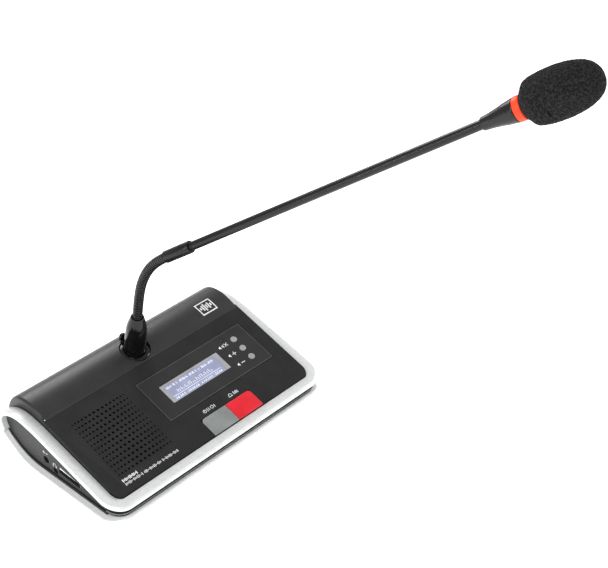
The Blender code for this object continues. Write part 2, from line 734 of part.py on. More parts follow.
def build_neck():
    points = [socket_point(20.5), *neck_points()]
    for k, (low, high) in enumerate(zip(points, points[1:]), 1):
        half = (high - low).length / 2
        foot = [(r, -h) for r, h in reversed(link_end(half))]
        if k == 1:
            foot = [(NECK_RADIUS, -half + 0.3), (0, -half + 0.3)]
        profile = link_end(half) + foot
        obj = turned(f"neck_link_{k}", profile, (0, 0, 0), (0, 0, 1), 20)
        turn = Vector((0, 0, 1)).rotation_difference((high - low).normalized()).to_matrix().to_4x4()
        obj.matrix_world = Matrix.Translation(low * MM) @ turn
        obj.data.transform(Matrix.Translation((0, 0, half * MM)))
        keep_part(obj, "neck_black", smooth=True)
    return build_ferrule(points[-1])


def build_ferrule(start):
    """The sleeve that grips the tube, from the last joint of the neck to a short narrow end."""
    shift = (TUBE_ZERO - start).dot(TUBE_AXIS)
    foot = [(r, -h) for r, h in link_end(0)]
    ferrule = [
        *foot, (NECK_RADIUS, 1.5), (4.6, 1.5), (4.75, 1.75), (4.75, shift + 1.6), (4.5, shift + 1.9),
        (3.15, shift + 1.9), (3.15, shift + 4.1), (2.7, shift + 4.1), (2.7, shift - 7.0), (0, shift - 7.0),
    ]
    obj = turned("neck_ferrule", ferrule[::-1], start, TUBE_AXIS, 28)
    return keep_part(obj, "neck_black")


def build_tube_and_head():
    tube = [
        (2.4, TUBE_END), (TUBE_RADIUS, TUBE_END), (TUBE_RADIUS, TUBE_START), (2.35, TUBE_START),
        (2.35, -6.6), (1.7, -6.6), (1.7, TUBE_START + 1.5), (2.4, TUBE_START + 2.5),
    ]
    keep_part(turned("neck_tube", tube, TUBE_ZERO, TUBE_AXIS, 28), "neck_black")
    cone = [
        (6.6, 273.0), (8.1, 273.0), (8.11, 272.2), (7.47, 268.0), (7.0, 265.0), (6.46, 262.6),
        (5.21, 255.3), (4.7, 250.5), (4.55, 249.6), (4.3, HEAD_START), (3.75, HEAD_START),
        (3.75, 256.5), (5.0, 261.5),
    ]
    keep_part(turned("head_cone", cone, TUBE_ZERO, TUBE_AXIS, 36), "gloss_black")
    ring = [
        (6.95, RING_END), (8.05, RING_END), (8.3, RING_END - 0.4), (8.3, RING_START),
        (6.95, RING_START),
    ]
    keep_part(turned("light_ring", ring, TUBE_ZERO, TUBE_AXIS, 36), "glow_red")
    capsule = [(0, 308.0), (6.5, 308.0), (6.5, 274.0), (5.5, 273.0), (5.2, 269.0), (0, 269.0)]
    keep_part(turned("mic_capsule", capsule, TUBE_ZERO, TUBE_AXIS, 28), "capsule_metal")
    grille = [(0, 315.0), (3.5, 314.4), (5.8, 312.5), (6.5, 310.0), (6.5, 308.35), (0, 308.35)]
    return keep_part(turned("capsule_grille", grille, TUBE_ZERO, TUBE_AXIS, 28), "capsule_metal")


def build_windscreen():
    start = RING_END + 0.4
    outer = [
        (0, FOAM_END), (3.7, 330.2), (7.1, 328.8), (10.5, 326.0), (13.0, 322.1), (14.8, 317.3),
        (15.85, 312.5), (16.6, 306.8), (16.85, 300.1), (16.6, 294.3), (16.1, 289.5), (15.5, 286.2),
        (14.4, 283.3), (11.9, 280.9), (9.5, 279.0), (8.7, start),
    ]
    bore = [(6.95, start), (6.95, 310.5), (6.2, 313.5), (3.8, 315.3), (0, 315.9)]
    obj = turned("windscreen", outer + bore, TUBE_ZERO, TUBE_AXIS, 32)
    return keep_part(obj, "foam_black", smooth=True)


clear_scene()
PARTS = new_collection("gooseneck_conference_microphone")
HELPERS = new_collection("cutters")

build_top_housing()
build_bottom_housing()
build_desk_mat()
build_trims()
build_side_panels()
build_front_fascia()
build_overlay()
build_display()
build_speaker()
for button_name in BUTTONS:
    build_button(button_name, "button_grey")
build_key("on_off_key", ON_OFF_KEY, -1, "on_off_switch", "grey_key")
build_key("priority_key", PRIORITY_KEY, 1, "priority_switch", "red_key")
build_switches()
build_led()
build_electronics()
build_jack("dc_jack", DC_AT, 2.8, 1.0)
build_jack("headphone_jack", PHONES_AT, 1.8, None)
build_side_connector()
build_socket()
build_latch()
build_screws()
build_sleeve_and_plug()
build_neck()
build_tube_and_head()
build_windscreen()
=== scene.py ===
"""The looks of the gooseneck conference microphone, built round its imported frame."""

import math

import bmesh
import bpy
from mathutils import Matrix, Vector, noise


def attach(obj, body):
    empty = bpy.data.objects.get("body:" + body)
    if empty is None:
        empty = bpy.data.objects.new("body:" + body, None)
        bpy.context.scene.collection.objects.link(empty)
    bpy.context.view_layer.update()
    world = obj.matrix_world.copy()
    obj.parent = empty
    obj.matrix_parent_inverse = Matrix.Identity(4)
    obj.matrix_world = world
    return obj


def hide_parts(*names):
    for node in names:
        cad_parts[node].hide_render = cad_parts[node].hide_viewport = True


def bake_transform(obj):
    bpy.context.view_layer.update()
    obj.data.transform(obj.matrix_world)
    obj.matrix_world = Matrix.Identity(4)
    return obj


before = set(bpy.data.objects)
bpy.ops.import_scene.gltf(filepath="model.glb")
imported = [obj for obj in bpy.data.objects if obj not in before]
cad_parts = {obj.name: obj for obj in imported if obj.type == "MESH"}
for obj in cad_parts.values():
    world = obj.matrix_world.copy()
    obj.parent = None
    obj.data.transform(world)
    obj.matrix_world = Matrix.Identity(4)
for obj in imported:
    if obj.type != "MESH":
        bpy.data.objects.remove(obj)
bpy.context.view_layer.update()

# Lengths are in millimetres. Areas on the sloped panel are (x0, x1, v0, v1), with v measured up its slope.
MM = 0.001
GAP = 0.35
TRIM_HALF_WIDTH = 110.0
TRIM_INNER_HALF_WIDTH = 100.05
TRIM_THICKNESS = 3.3
LOWER_BAND_SIDE = 1.7
SKIRT_TOP = 4.3
TRIM_EDGE_ROLL = 1.85
BODY_HALF_WIDTH = 99.7
FRONT_Y = -53.1
BODY_FRONT_Y = -44.94
BODY_CORNER = (5.9, 8.44)
CORNER_CENTRE = (93.8, -36.5)
WALL = 2.4
BASE_BOTTOM_Z = 0.3
SIDE_PANEL_X = 104.5
FASCIA_CORNERS = ((10.7, 13.1), (8.4, 10.8))
FASCIA_WALL = 2.3
SLOT_REFLECTION_CORNERS = ((11.6, 14.1), (10.4, 12.8))
SLOT_REFLECTION_Z = (5.9, 6.15)
UPPER_BAND_DROP = 4.2
TRIM_SLOPE = 0.3057
TRIM_SLOPE_Z0 = 30.4
PANEL_SLOPE = math.radians(19.2)
PANEL_ZERO = (0.0, -43.24, 19.17)
PANEL = Matrix.Translation(Vector(PANEL_ZERO) * MM) @ Matrix.Rotation(PANEL_SLOPE, 4, "X")
PANEL_NORMAL = Vector((0, -math.sin(PANEL_SLOPE), math.cos(PANEL_SLOPE)))
CREASE_Y = 36.4
OVERLAY = (-23.0, 86.2, 27.5, 69.4)
WINDOW = (-9.5, 50.8, 39.1, 57.3)
GRILLE = (-86.2, -32.6, 12.2, 72.4)
HOLE_COLUMNS = (
    -85.2, -82.4, -79.4, -76.1, -72.5, -68.7, -64.8, -60.7, -56.6, -52.7, -49.0, -45.4, -42.1, -38.9, -35.9,
)
HOLE_ROWS = 13
HOLE_FIRST_V = 13.7
HOLE_ROW_PITCH = 4.55
HOLE_RADIUS = 0.68
HOLE_GROWTH = 0.42
BUTTONS = {
    "mute_button": (72.1, 58.8),
    "volume_up_button": (72.1, 48.0),
    "volume_down_button": (72.1, 37.5),
}
BUTTON_RADIUS = 2.8
ON_OFF_KEY = (-4.4, 20.7, 14.2)
PRIORITY_KEY = (21.0, 46.4, 14.1)
KEY_CORNER = 3.0
KEY_SWITCHES = {"on_off_key": (8.2, 7.2), "priority_key": (33.7, 7.2)}
LED_AT = (63.5, 64.2)
DC_AT = (33.6, 13.8)
PHONES_AT = (23.1, 9.0)
SOCKET_ZERO = Vector((0.0, 49.4, 48.2))
SOCKET_AXIS = Vector((0.0, -0.23806, 0.97125)).normalized()
TUBE_AXIS = Vector((0.32548, -0.78621, 0.52529)).normalized()
TUBE_ZERO = Vector((15.869, -10.662, 162.459))
FLEX_NORMAL = SOCKET_AXIS.cross(TUBE_AXIS).normalized()
SLEEVE_LENGTH = 39.6
NECK_RADIUS = 3.9
RIDGE_PITCH = 1.9
RIDGE_DEPTH = 0.42
RIDGE_SHAPE = 0.6
GROOVE_SHADE_EDGE = 0.55
NECK_JOINTS = [
    (4.5, 0.0), (14.5, 0.0), (24.38, 0.24), (34.3, 1.06), (43.91, 3.09), (53.22, 6.27), (61.18, 11.05),
    (68.51, 17.31),
]
TUBE_RADIUS = 3.37
TUBE_START = 4.5
TUBE_END = 256.0
HEAD_START = 248.8
RING_START = 273.4
RING_END = 277.9
FOAM_END = 330.75
FOAM_BORE_RADIUS = 7.3
FOAM_BORE_END = 317
FOAM_CELLS = ((900.0, 0.24), (420.0, 0.14))
SLIT = [(-158.0, 294.9), (-144.0, 295.6), (-130.0, 295.8), (-118.0, 296.3), (-106.0, 297.2)]
SLIT_HALF_WIDTH = 0.75
SLIT_DEPTH = 2.2
SLIT_RUN_OUT = 12.0
TOP_CURVE = [
    (36.4, 46.9), (44.0, 50.7), (50.0, 52.9), (56.0, 54.0), (62.0, 54.0), (68.0, 52.6), (74.0, 49.2),
    (79.0, 44.2), (83.0, 37.5), (84.8, 30.0), (84.6, 24.5), (83.4, 19.0),
]
TRIM_TOP_CURVE = [
    (36.4, 41.53), (46.5, 43.6), (52.5, 44.6), (57.0, 44.9), (62.0, 44.5), (68.0, 43.1), (73.3, 41.0),
    (79.0, 37.5), (82.8, 33.0), (84.0, 28.0), (83.3, 22.5), (81.9, 18.9),
]
TRIM_BOTTOM_CURVE = [
    (81.6, 18.2), (79.3, 15.2), (76.0, 12.3), (71.0, 8.8), (65.2, 5.5), (57.0, 2.5), (48.2, 0.7), (42.0, 0.3),
]
SENSOR_WIDTH = 36.0
FOCAL_RATIO = 2.164473684
SCREWS = {
    "housing_screw_a": (-88.0, -33.0),
    "housing_screw_b": (88.0, -33.0),
    "housing_screw_c": (-88.0, 44.5),
    "housing_screw_d": (88.0, 44.5),
}


# Materials


class Graph:
    """A material's node tree with short calls for its nodes."""

    def __init__(self, name):
        self.material = bpy.data.materials.new(name)
        self.material.use_nodes = True
        self.tree = self.material.node_tree
        self.shader = self.tree.nodes["Principled BSDF"]
        self.place = self.node("ShaderNodeTexCoord").outputs["Object"]

    def set(self, name, value, node=None):
        """Gives an input a value, or links it to another node's output."""
        socket = (node or self.shader).inputs[name]
        if isinstance(value, bpy.types.NodeSocket):
            self.tree.links.new(value, socket)
        else:
            socket.default_value = value

    def node(self, kind, inputs=None):
        made = self.tree.nodes.new(kind)
        for name, value in (inputs or {}).items():
            self.set(name, value, made)
        return made

    def noise(self, scale, detail=3.0):
        inputs = {"Vector": self.place, "Scale": scale, "Detail": detail, "Roughness": 0.55}
        return self.node("ShaderNodeTexNoise", inputs).outputs["Fac"]

    def cells(self, scale):
        return self.node("ShaderNodeTexVoronoi", {"Vector": self.place, "Scale": scale}).outputs["Distance"]

    def ramp(self, value, low, high, position=(0.35, 0.65)):
        made = self.node("ShaderNodeValToRGB", {"Fac": value})
        for element, place, colour in zip(made.color_ramp.elements, position, (low, high)):
            element.position = place
            element.color = (*colour, 1)
        return made.outputs["Color"]

    def spread(self, value, low, high):
        inputs = {"Value": value, "From Min": 0.3, "From Max": 0.7, "To Min": low, "To Max": high}
        return self.node("ShaderNodeMapRange", inputs).outputs["Result"]

    def bump(self, value, distance, strength=1.0, below=None):
        inputs = {"Height": value, "Distance": distance, "Strength": strength}
        if below is not None:
            inputs["Normal"] = below
        return self.node("ShaderNodeBump", inputs).outputs["Normal"]


def grey(level):
    return (level, level, level)


def surface(name, low, high, rough, metallic=0.0, mottle=60.0, grain=2600.0, depth=0.00002, spec=0.5):
    """A moulded or painted surface: slight colour mottle, uneven gloss and a fine grain."""
    g = Graph(name)
    g.set("Base Color", g.ramp(g.noise(mottle), low, high))
    g.set("Roughness", g.spread(g.noise(mottle * 7), *rough))
    g.set("Metallic", metallic)
    g.set("Specular IOR Level", spec)
    g.set("Normal", g.bump(g.noise(grain, 2.0), depth))
    return g.material


def brushed(name, low, high, rough, stretch, grain=900.0):
    """Metal with fine lines along one direction."""
    g = Graph(name)
    g.place = g.node("ShaderNodeMapping", {"Vector": g.place, "Scale": stretch}).outputs["Vector"]
    lines = g.noise(grain, 4.0)
    g.set("Base Color", g.ramp(lines, low, high))
    g.set("Roughness", g.spread(lines, *rough))
    g.set("Metallic", 1.0)
    g.set("Normal", g.bump(lines, 0.000006))
    return g.material


def foam_material():
    """Open cells with dark pits; the pits' darkness is painted shade in the cells' hollows."""
    g = Graph("foam")
    cells = g.cells(760.0)
    fine = g.noise(2600.0, 4.0)
    # Darker towards the cells' centres: painted shade in the pits.
    g.set("Base Color", g.ramp(cells, grey(0.0015), (0.030, 0.030, 0.0315), (0.1, 0.9)))
    g.set("Roughness", g.spread(fine, 0.85, 1.0))
    g.set("Specular IOR Level", 0.12)
    g.set("Normal", g.bump(fine, 0.0002, 0.9, g.bump(cells, 0.0006)))
    return g.material


def glow_material(name, low, high, strength):
    """A surface that shines a little by itself."""
    g = Graph(name)
    colour = g.ramp(g.noise(140.0), low, high)
    g.set("Base Color", colour)
    g.set("Roughness", g.spread(g.noise(600.0), 0.36, 0.46))
    g.set("Specular IOR Level", 0.25)
    g.set("Emission Color", colour)
    g.set("Emission Strength", strength)
    return g.material


M = {
    "matt_black": surface("matt_black", grey(0.012), (0.016, 0.0165, 0.016), (0.5, 0.58), spec=0.2),
    "grille": surface("grille_black", grey(0.012), (0.016, 0.0165, 0.016), (0.5, 0.58), spec=0.2),
    # The hump's black is a lighter copy of the panel's: painted light on the hump, with a glossier finish.
    "hump": surface("hump_black_painted_lighter", (0.019, 0.0195, 0.019), (0.023, 0.0235, 0.023), (0.36, 0.42), spec=0.38),
    "satin_black": surface("satin_black", grey(0.016), grey(0.021), (0.4, 0.48), spec=0.3),
    "overlay": surface(
        "overlay_film", (0.020, 0.0205, 0.020), (0.024, 0.0245, 0.024), (0.4, 0.46), grain=4200, spec=0.25,
    ),
    "neck": surface("wound_neck", grey(0.022), grey(0.030), (0.22, 0.3), grain=5200, spec=0.45),
    # Near black for the faces in the neck's grooves: painted shade.
    "groove_shade": surface("neck_groove_painted_shade", grey(0.0015), grey(0.003), (0.8, 0.9), spec=0.05),
    "tube": surface("tube_paint", grey(0.007), grey(0.010), (0.22, 0.3), spec=0.32),
    "cone": surface("cone_gloss", grey(0.008), grey(0.011), (0.22, 0.3), spec=0.35, depth=0.000006),
    "slot": surface("slot_black", grey(0.003), grey(0.006), (0.5, 0.6), spec=0.12),
    "sleeve": surface("sleeve_gloss", grey(0.004), grey(0.007), (0.12, 0.18), depth=0.000004, spec=0.35),
    "silver": surface(
        "silver_paint", (0.62, 0.63, 0.625), (0.69, 0.70, 0.695), (0.36, 0.44), 0.12, depth=0.00001,
        mottle=420.0,
    ),
    # A lighter copy of the silver paint for the lower band: painted light, standing in for light thrown up
    # from the floor.
    "pale": surface(
        "silver_painted_lighter", (0.80, 0.81, 0.805), (0.87, 0.88, 0.875), (0.3, 0.38), 0.05, depth=0.00001,
        mottle=420.0,
    ),
    # A lighter silver for the bands' rolled edges: a painted highlight, with a slightly glossier finish.
    "rim_highlight": surface(
        "rim_painted_highlight", (0.80, 0.81, 0.81), (0.88, 0.89, 0.89), (0.28, 0.36), 0.25, depth=0.000004,
    ),
    "lip": surface("connector_lip", grey(0.80), grey(0.90), (0.3, 0.38), 0.1, depth=0.000004),
    "side": surface("side_plastic", (0.015, 0.016, 0.015), (0.021, 0.022, 0.021), (0.38, 0.46), spec=0.25),
    "gloss": surface("gloss_plastic", grey(0.005), grey(0.008), (0.08, 0.14), depth=0.000004, spec=0.4),
    "red": surface("red_key_plastic", (0.64, 0.010, 0.022), (0.72, 0.016, 0.030), (0.3, 0.38), spec=0.35),
    "grey": surface("grey_key_plastic", (0.21, 0.225, 0.22), (0.27, 0.285, 0.28), (0.3, 0.38), 0.2),
    "button": surface("button_plastic", (0.25, 0.26, 0.26), (0.32, 0.33, 0.33), (0.3, 0.38)),
    "print": surface("printed_ink", (0.74, 0.75, 0.76), (0.84, 0.85, 0.86), (0.5, 0.6)),
    "line": surface("printed_line", grey(0.060), grey(0.080), (0.45, 0.55)),
    # A painted highlight for the crease between panel and hump.
    "crease": surface("crease_painted_highlight", (0.032, 0.033, 0.032), (0.045, 0.046, 0.045), (0.4, 0.5)),
    "bezel": surface("display_border", (0.30, 0.295, 0.32), (0.38, 0.375, 0.39), (0.2, 0.3)),
    "rubber": surface("rubber", grey(0.012), grey(0.018), (0.75, 0.85), depth=0.00006),
    "paper": surface("paper_cone", grey(0.03), grey(0.05), (0.8, 0.9), depth=0.0001),
    "board": surface("circuit_board", (0.012, 0.09, 0.03), (0.02, 0.13, 0.045), (0.3, 0.4), grain=1200),
    "wrap": surface("cell_wrap", (0.02, 0.07, 0.20), (0.03, 0.10, 0.27), (0.25, 0.35)),
    "cloth": surface("dust_cloth", grey(0.002), grey(0.004), (0.9, 1.0), depth=0.0001, spec=0.1),
    "lens": surface("dark_led_lens", (0.035, 0.033, 0.033), (0.045, 0.043, 0.043), (0.3, 0.4), spec=0.3),
    "metal": brushed("bright_metal", grey(0.52), grey(0.68), (0.22, 0.34), (1, 1, 12)),
    "foam": foam_material(),
    "ring": glow_material("ring_glow", (0.88, 0.032, 0.008), (0.95, 0.050, 0.013), 0.6),
    "pixel": glow_material("lit_pixel", (0.66, 0.68, 0.80), (0.78, 0.80, 0.90), 0.25),
}

NODE_FINISH = {
    "rubber": ["desk_mat"],
    "side": ["left_side_panel", "right_side_panel"],
    "overlay": ["control_overlay"],
    "gloss": ["display_module", "dc_jack", "headphone_jack"],
    "satin_black": [
        "mic_socket", "mute_switch", "volume_up_switch", "volume_down_switch", "on_off_switch",
        "priority_switch",
    ],
    "board": ["main_board"],
    "wrap": ["battery_pack"],
    "paper": ["speaker_cone"],
    "lens": ["mute_led"],
    "metal": [
        "speaker_frame", "radio_module", "antenna", "mic_plug", "mic_capsule", "capsule_grille", *SCREWS,
    ],
}


def dress_cad_nodes():
    """Finishes for the CAD pieces that stay."""
    for finish, nodes in NODE_FINISH.items():
        for node in nodes:
            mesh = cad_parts[node].data
            mesh.materials.clear()
            mesh.materials.append(M[finish])


# Shapes


def link(obj):
    bpy.context.scene.collection.objects.link(obj)
    return obj


def object_from(name, bm):
    """An object in the scene from the bmesh, which is freed."""
    bmesh.ops.recalc_face_normals(bm, faces=bm.faces)
    mesh = bpy.data.meshes.new(name)
    bm.to_mesh(mesh)
    bm.free()
    return link(bpy.data.objects.new(name, mesh))


def sections(name, rings, closed=False):
    """A body through a row of equal rings of points, its ends filled unless the row is closed on itself."""
    bm = bmesh.new()
    made = [[bm.verts.new(Vector(p) * MM) for p in ring] for ring in rings]
    count = len(made[0])
    pairs = list(zip(made, made[1:]))
    if closed:
        pairs.append((made[-1], made[0]))
    for lower, upper in pairs:
        for i in range(count):
            j = (i + 1) % count
            bm.faces.new((lower[i], lower[j], upper[j], upper[i]))
    if not closed:
        bm.faces.new(made[0])
        bm.faces.new(made[-1])
    return object_from(name, bm)


def prism(name, outline, axis, low, high):
    """The outline, in the plane across the axis, drawn from low to high."""
    place = {
        "X": lambda a, b, t: (t, a, b),
        "Y": lambda a, b, t: (a, t, b),
        "Z": lambda a, b, t: (a, b, t),
    }[axis]
    return sections(name, [[place(a, b, t) for a, b in outline] for t in (low, high)])


def box(name, low, high):
    corners = [(low[0], low[1]), (high[0], low[1]), (high[0], high[1]), (low[0], high[1])]
    return prism(name, corners, "Z", low[2], high[2])


def shrunk(area, margin):
    """The area (x0, x1, y0, y1) with every edge moved in by the margin."""
    x0, x1, y0, y1 = area
    return x0 + margin, x1 - margin, y0 + margin, y1 - margin


def rounded_rectangle(x0, x1, y0, y1, radius, steps=8):
    points = []
    x0, x1, y0, y1 = shrunk((x0, x1, y0, y1), radius)
    for cx, cy, start in ((x1, y1, 0), (x0, y1, 90), (x0, y0, 180), (x1, y0, 270)):
        for k in range(steps + 1):
            turn = math.radians(start + 90 * k / steps)
            points.append((cx + radius * math.cos(turn), cy + radius * math.sin(turn)))
    return points


def turned(name, profile, zero, axis, steps):
    """The profile of (radius, height) turned about the axis through zero. Ends at radius 0 become poles."""
    bm = bmesh.new()
    rings = []
    for r, h in profile:
        turns = [2 * math.pi * k / steps for k in range(steps if r else 1)]
        rings.append([bm.verts.new((r * MM * math.cos(t), r * MM * math.sin(t), h * MM)) for t in turns])
    pairs = list(zip(rings, rings[1:]))
    if profile[0][0] > 0:
        pairs.append((rings[-1], rings[0]))
    for upper, lower in pairs:
        for k in range(steps):
            j = (k + 1) % steps
            above = (upper[k], upper[j]) if len(upper) > 1 else (upper[0],)
            below = (lower[j], lower[k]) if len(lower) > 1 else (lower[0],)
            bm.faces.new((*above, *below))
    obj = object_from(name, bm)
    turn = Vector((0, 0, 1)).rotation_difference(Vector(axis)).to_matrix().to_4x4()
    obj.data.transform(Matrix.Translation(Vector(zero) * MM) @ turn)
    return obj


def bake(obj):
    """Applies the object's modifiers."""
    bpy.context.view_layer.update()
    graph = bpy.context.evaluated_depsgraph_get()
    mesh = bpy.data.meshes.new_from_object(obj.evaluated_get(graph))
    obj.modifiers.clear()
    obj.data = mesh


def combine(obj, others, operation):
    """Cuts, joins or intersects with the others at once, and removes them."""
    for other in others:
        step = obj.modifiers.new("step", "BOOLEAN")
        step.operation = operation
        step.solver = "EXACT"
        step.object = other
    bake(obj)
    for other in others:
        bpy.data.objects.remove(other, do_unlink=True)


def merged(name, objects):
    """One object from several separate ones."""
    bm = bmesh.new()
    for obj in objects:
        bm.from_mesh(obj.data)
        bpy.data.objects.remove(obj, do_unlink=True)
    mesh = bpy.data.meshes.new(name)
    bm.to_mesh(mesh)
    bm.free()
    return link(bpy.data.objects.new(name, mesh))


def soften(obj, width):
    """A small rounding on the sharp edges, so that they catch light."""
    step = obj.modifiers.new("soften", "BEVEL")
    step.width = width * MM
    step.segments = 4
    step.limit_method = "ANGLE"
    step.angle_limit = math.radians(32.0)
    bake(obj)


def wear(obj, finish, body="base", nodes=(), angle=35.0):
    """Shading, material, body and the CAD nodes it stands for. A print has no CAD node."""
    obj.data.shade_smooth()
    obj.data.set_sharp_from_angle(angle=math.radians(angle))
    if not obj.data.materials:
        obj.data.materials.append(M[finish])
    else:
        obj.data.materials[0] = M[finish]
    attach(obj, body)
    if nodes:
        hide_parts(*nodes)


def panel_point(x, v):
    return (PANEL @ (Vector((x, v, 0)) * MM)) / MM


def on_panel(obj):
    obj.data.transform(PANEL)
    return obj


def panel_box(name, x0, x1, v0, v1, h0, h1):
    return on_panel(box(name, (x0, v0, h0), (x1, v1, h1)))


def rod(name, zero, axis, radius, low, high, steps):
    """A round bar along the axis, from low to high above zero."""
    return turned(name, [(0, high), (radius, high), (radius, low), (0, low)], zero, axis, steps)


def panel_hole(name, x, v, radius, h0, h1):
    return rod(name, panel_point(x, v), PANEL_NORMAL, radius, h0, h1, 48)


def socket_hole(name, radius, low, high):
    return rod(name, SOCKET_ZERO, SOCKET_AXIS, radius, low, high, 64)


def post(name, x, y, low, high, radius):
    return rod(name, (x, y, 0), (0, 0, 1), radius, low, high, 24)


def side_hole(name, at, radius):
    return rod(name, (-110.0, *at), (1, 0, 0), radius, 0, 30.0, 40)


def spline(p, q, r, s, t):
    """The value between q and r at t, on a curve that also heeds p and s."""
    return 0.5 * (2 * q + (r - p) * t + (2 * p - 5 * q + 4 * r - s) * t**2 + (3 * q - p - 3 * r + s) * t**3)


def smooth_curve(points, per_span=6):
    """Points on a smooth curve through the given ones."""
    ends = [points[0], *points, points[-1]]
    made = []
    for four in zip(ends, ends[1:], ends[2:], ends[3:]):
        made += [tuple(spline(*values, k / per_span) for values in zip(*four)) for k in range(per_span)]
    made.append(points[-1])
    return made


def inset(outline, amounts):
    """The outline moved inwards, by each corner's own amount."""
    made = []
    count = len(outline)
    for i, (a, b) in enumerate(outline):
        before = Vector(outline[i]) - Vector(outline[i - 1])
        after = Vector(outline[(i + 1) % count]) - Vector(outline[i])
        n1 = Vector((before.y, -before.x)).normalized()
        n2 = Vector((after.y, -after.x)).normalized()
        mitre = (n1 + n2) / max(0.35, 1 + n1.dot(n2))
        made.append((a + mitre.x * amounts[i], b + mitre.y * amounts[i]))
    return made


def plan_outline(half_width, corner_x, corner_y, rear):
    """The base from above: straight sides and front with round front corners."""
    cx, cy = CORNER_CENTRE
    right = []
    for k in range(19):
        turn = math.radians(90 * k / 18)
        right.append((cx + corner_x * math.sin(turn), cy - corner_y * math.cos(turn)))
    left = [(-x, y) for x, y in reversed(right)]
    return [(-half_width, rear), *left, *right, (half_width, rear)]


def trim_top(y):
    """The height of the upper band's top edge at y."""
    return TRIM_SLOPE_Z0 + y * TRIM_SLOPE


def domed_slab(name, outline, radii, half_width):
    """The side outline across the full width, rounded at both ends."""
    rings = []
    for side in (-1, 1):
        turns = [math.radians(90 * k / 8) for k in range(9)]
        for turn in turns if side > 0 else reversed(turns):
            drawn_in = inset(outline, [r * (1 - math.cos(turn)) for r in radii])
            ends = [side * (half_width - r * (1 - math.sin(turn))) for r in radii]
            rings.append([(x, y, z) for x, (y, z) in zip(ends, drawn_in)])
    return sections(name, rings)


def connector_outline(margin):
    return [
        (18.5 + margin, 10.0 - margin), (18.2 + margin, 16.0 + margin), (-6.6 - margin, 12.4 + margin),
        (-6.2 - margin, 8.7 - margin),
    ]


def side_openings():
    return [
        side_hole("dc_cut", DC_AT, 3.2),
        side_hole("phones_cut", PHONES_AT, 2.6),
        prism("connector_cut", connector_outline(0.0), "X", -110, -80),
    ]


# Base


def hollow(obj, cavity):
    """Cuts the cavity out of the shell, between its side walls."""
    inner = BODY_HALF_WIDTH - WALL
    combine(obj, [prism("cavity", cavity, "X", -inner, inner)], "DIFFERENCE")


def trim_to_plan(obj):
    """Rounds the shell's front corners."""
    plan = prism("plan", plan_outline(BODY_HALF_WIDTH, *BODY_CORNER, 120), "Z", -20, 90)
    combine(obj, [plan], "INTERSECT")


def build_top():
    """The sloped panel and the hump as one shell, with every opening cut."""
    outline = [(BODY_FRONT_Y, 12.4), (BODY_FRONT_Y, 18.58)] + smooth_curve(TOP_CURVE)
    radii = [0.0, 0.6] + [0.6 if y < CREASE_Y + 1 else 2.4 for y, _ in outline[2:]]
    radii[-1] = 0.0
    obj = domed_slab("top_shell", outline, radii, BODY_HALF_WIDTH)
    cavity = inset(outline, [WALL] * len(outline))
    hollow(obj, [(cavity[0][0], 5.0), *cavity[1:-1], (cavity[-1][0], 5.0)])
    additions, cuts = [], []
    for x, y in SCREWS.values():
        top = 21.4 + (y + 33.0) * math.tan(PANEL_SLOPE)
        additions.append(post("boss", x, y, 15.0, top, 4.0))
        cuts.append(post("pilot", x, y, 10.0, 19.0, 1.55))
    additions.append(panel_box("key_floor", -8, 53, 0.8, 19, -4.2, -2.2))
    combine(obj, additions, "UNION")
    trim_to_plan(obj)
    pocket = rounded_rectangle(*shrunk(OVERLAY, -GAP), 0.95)
    x0, x1 = ON_OFF_KEY[0] - GAP, PRIORITY_KEY[1] + GAP
    cuts += [
        on_panel(prism("overlay_pocket", pocket, "Z", -0.85, 3)),
        panel_box("display_opening", *shrunk(WINDOW, 1.6), -6, 2),
        panel_box("grille_opening", *shrunk(GRILLE, 2), -6, 2),
        panel_box("grille_pocket", *shrunk(GRILLE, -0.05), -1.5, 2),
        *[panel_hole("button_opening", x, v, BUTTON_RADIUS + GAP, -6, 2) for x, v in BUTTONS.values()],
        panel_hole("led_opening", *LED_AT, 1.6, -6, 2),
        panel_box("key_opening", x0, x1, -6, 14.55, -2.0, 4),
        *[
            panel_box("stem_opening", x - 3.4, x + 3.4, v - 2.4, v + 2.4, -8, 4)
            for x, v in KEY_SWITCHES.values()
        ],
        socket_hole("flange_seat", 12.6, 0.65, 20),
        socket_hole("socket_opening", 10.4, -20, 20),
        box("latch_slot", (-2.2, 61.6, 40), (2.2, 65.6, 70)),
    ]
    combine(obj, cuts + side_openings(), "DIFFERENCE")
    wear(obj, "matt_black", "base", ["top_housing"], 28)
    # The hump's faces get the lighter copy of the black: painted light.
    obj.data.materials.append(M["hump"])
    for face in obj.data.polygons:
        y, z = face.center.y / MM, face.center.z / MM
        if y > CREASE_Y - 0.3 and z > 15 and face.normal.z > -0.6:
            face.material_index = 1
    # A thin lighter strip along the crease: a painted highlight.
    crease = (CREASE_Y - PANEL_ZERO[1]) / math.cos(PANEL_SLOPE)
    line = panel_box("crease_highlight", -98.6, 98.6, crease - 0.75, crease - 0.3, -0.05, 0.06)
    wear(line, "crease")


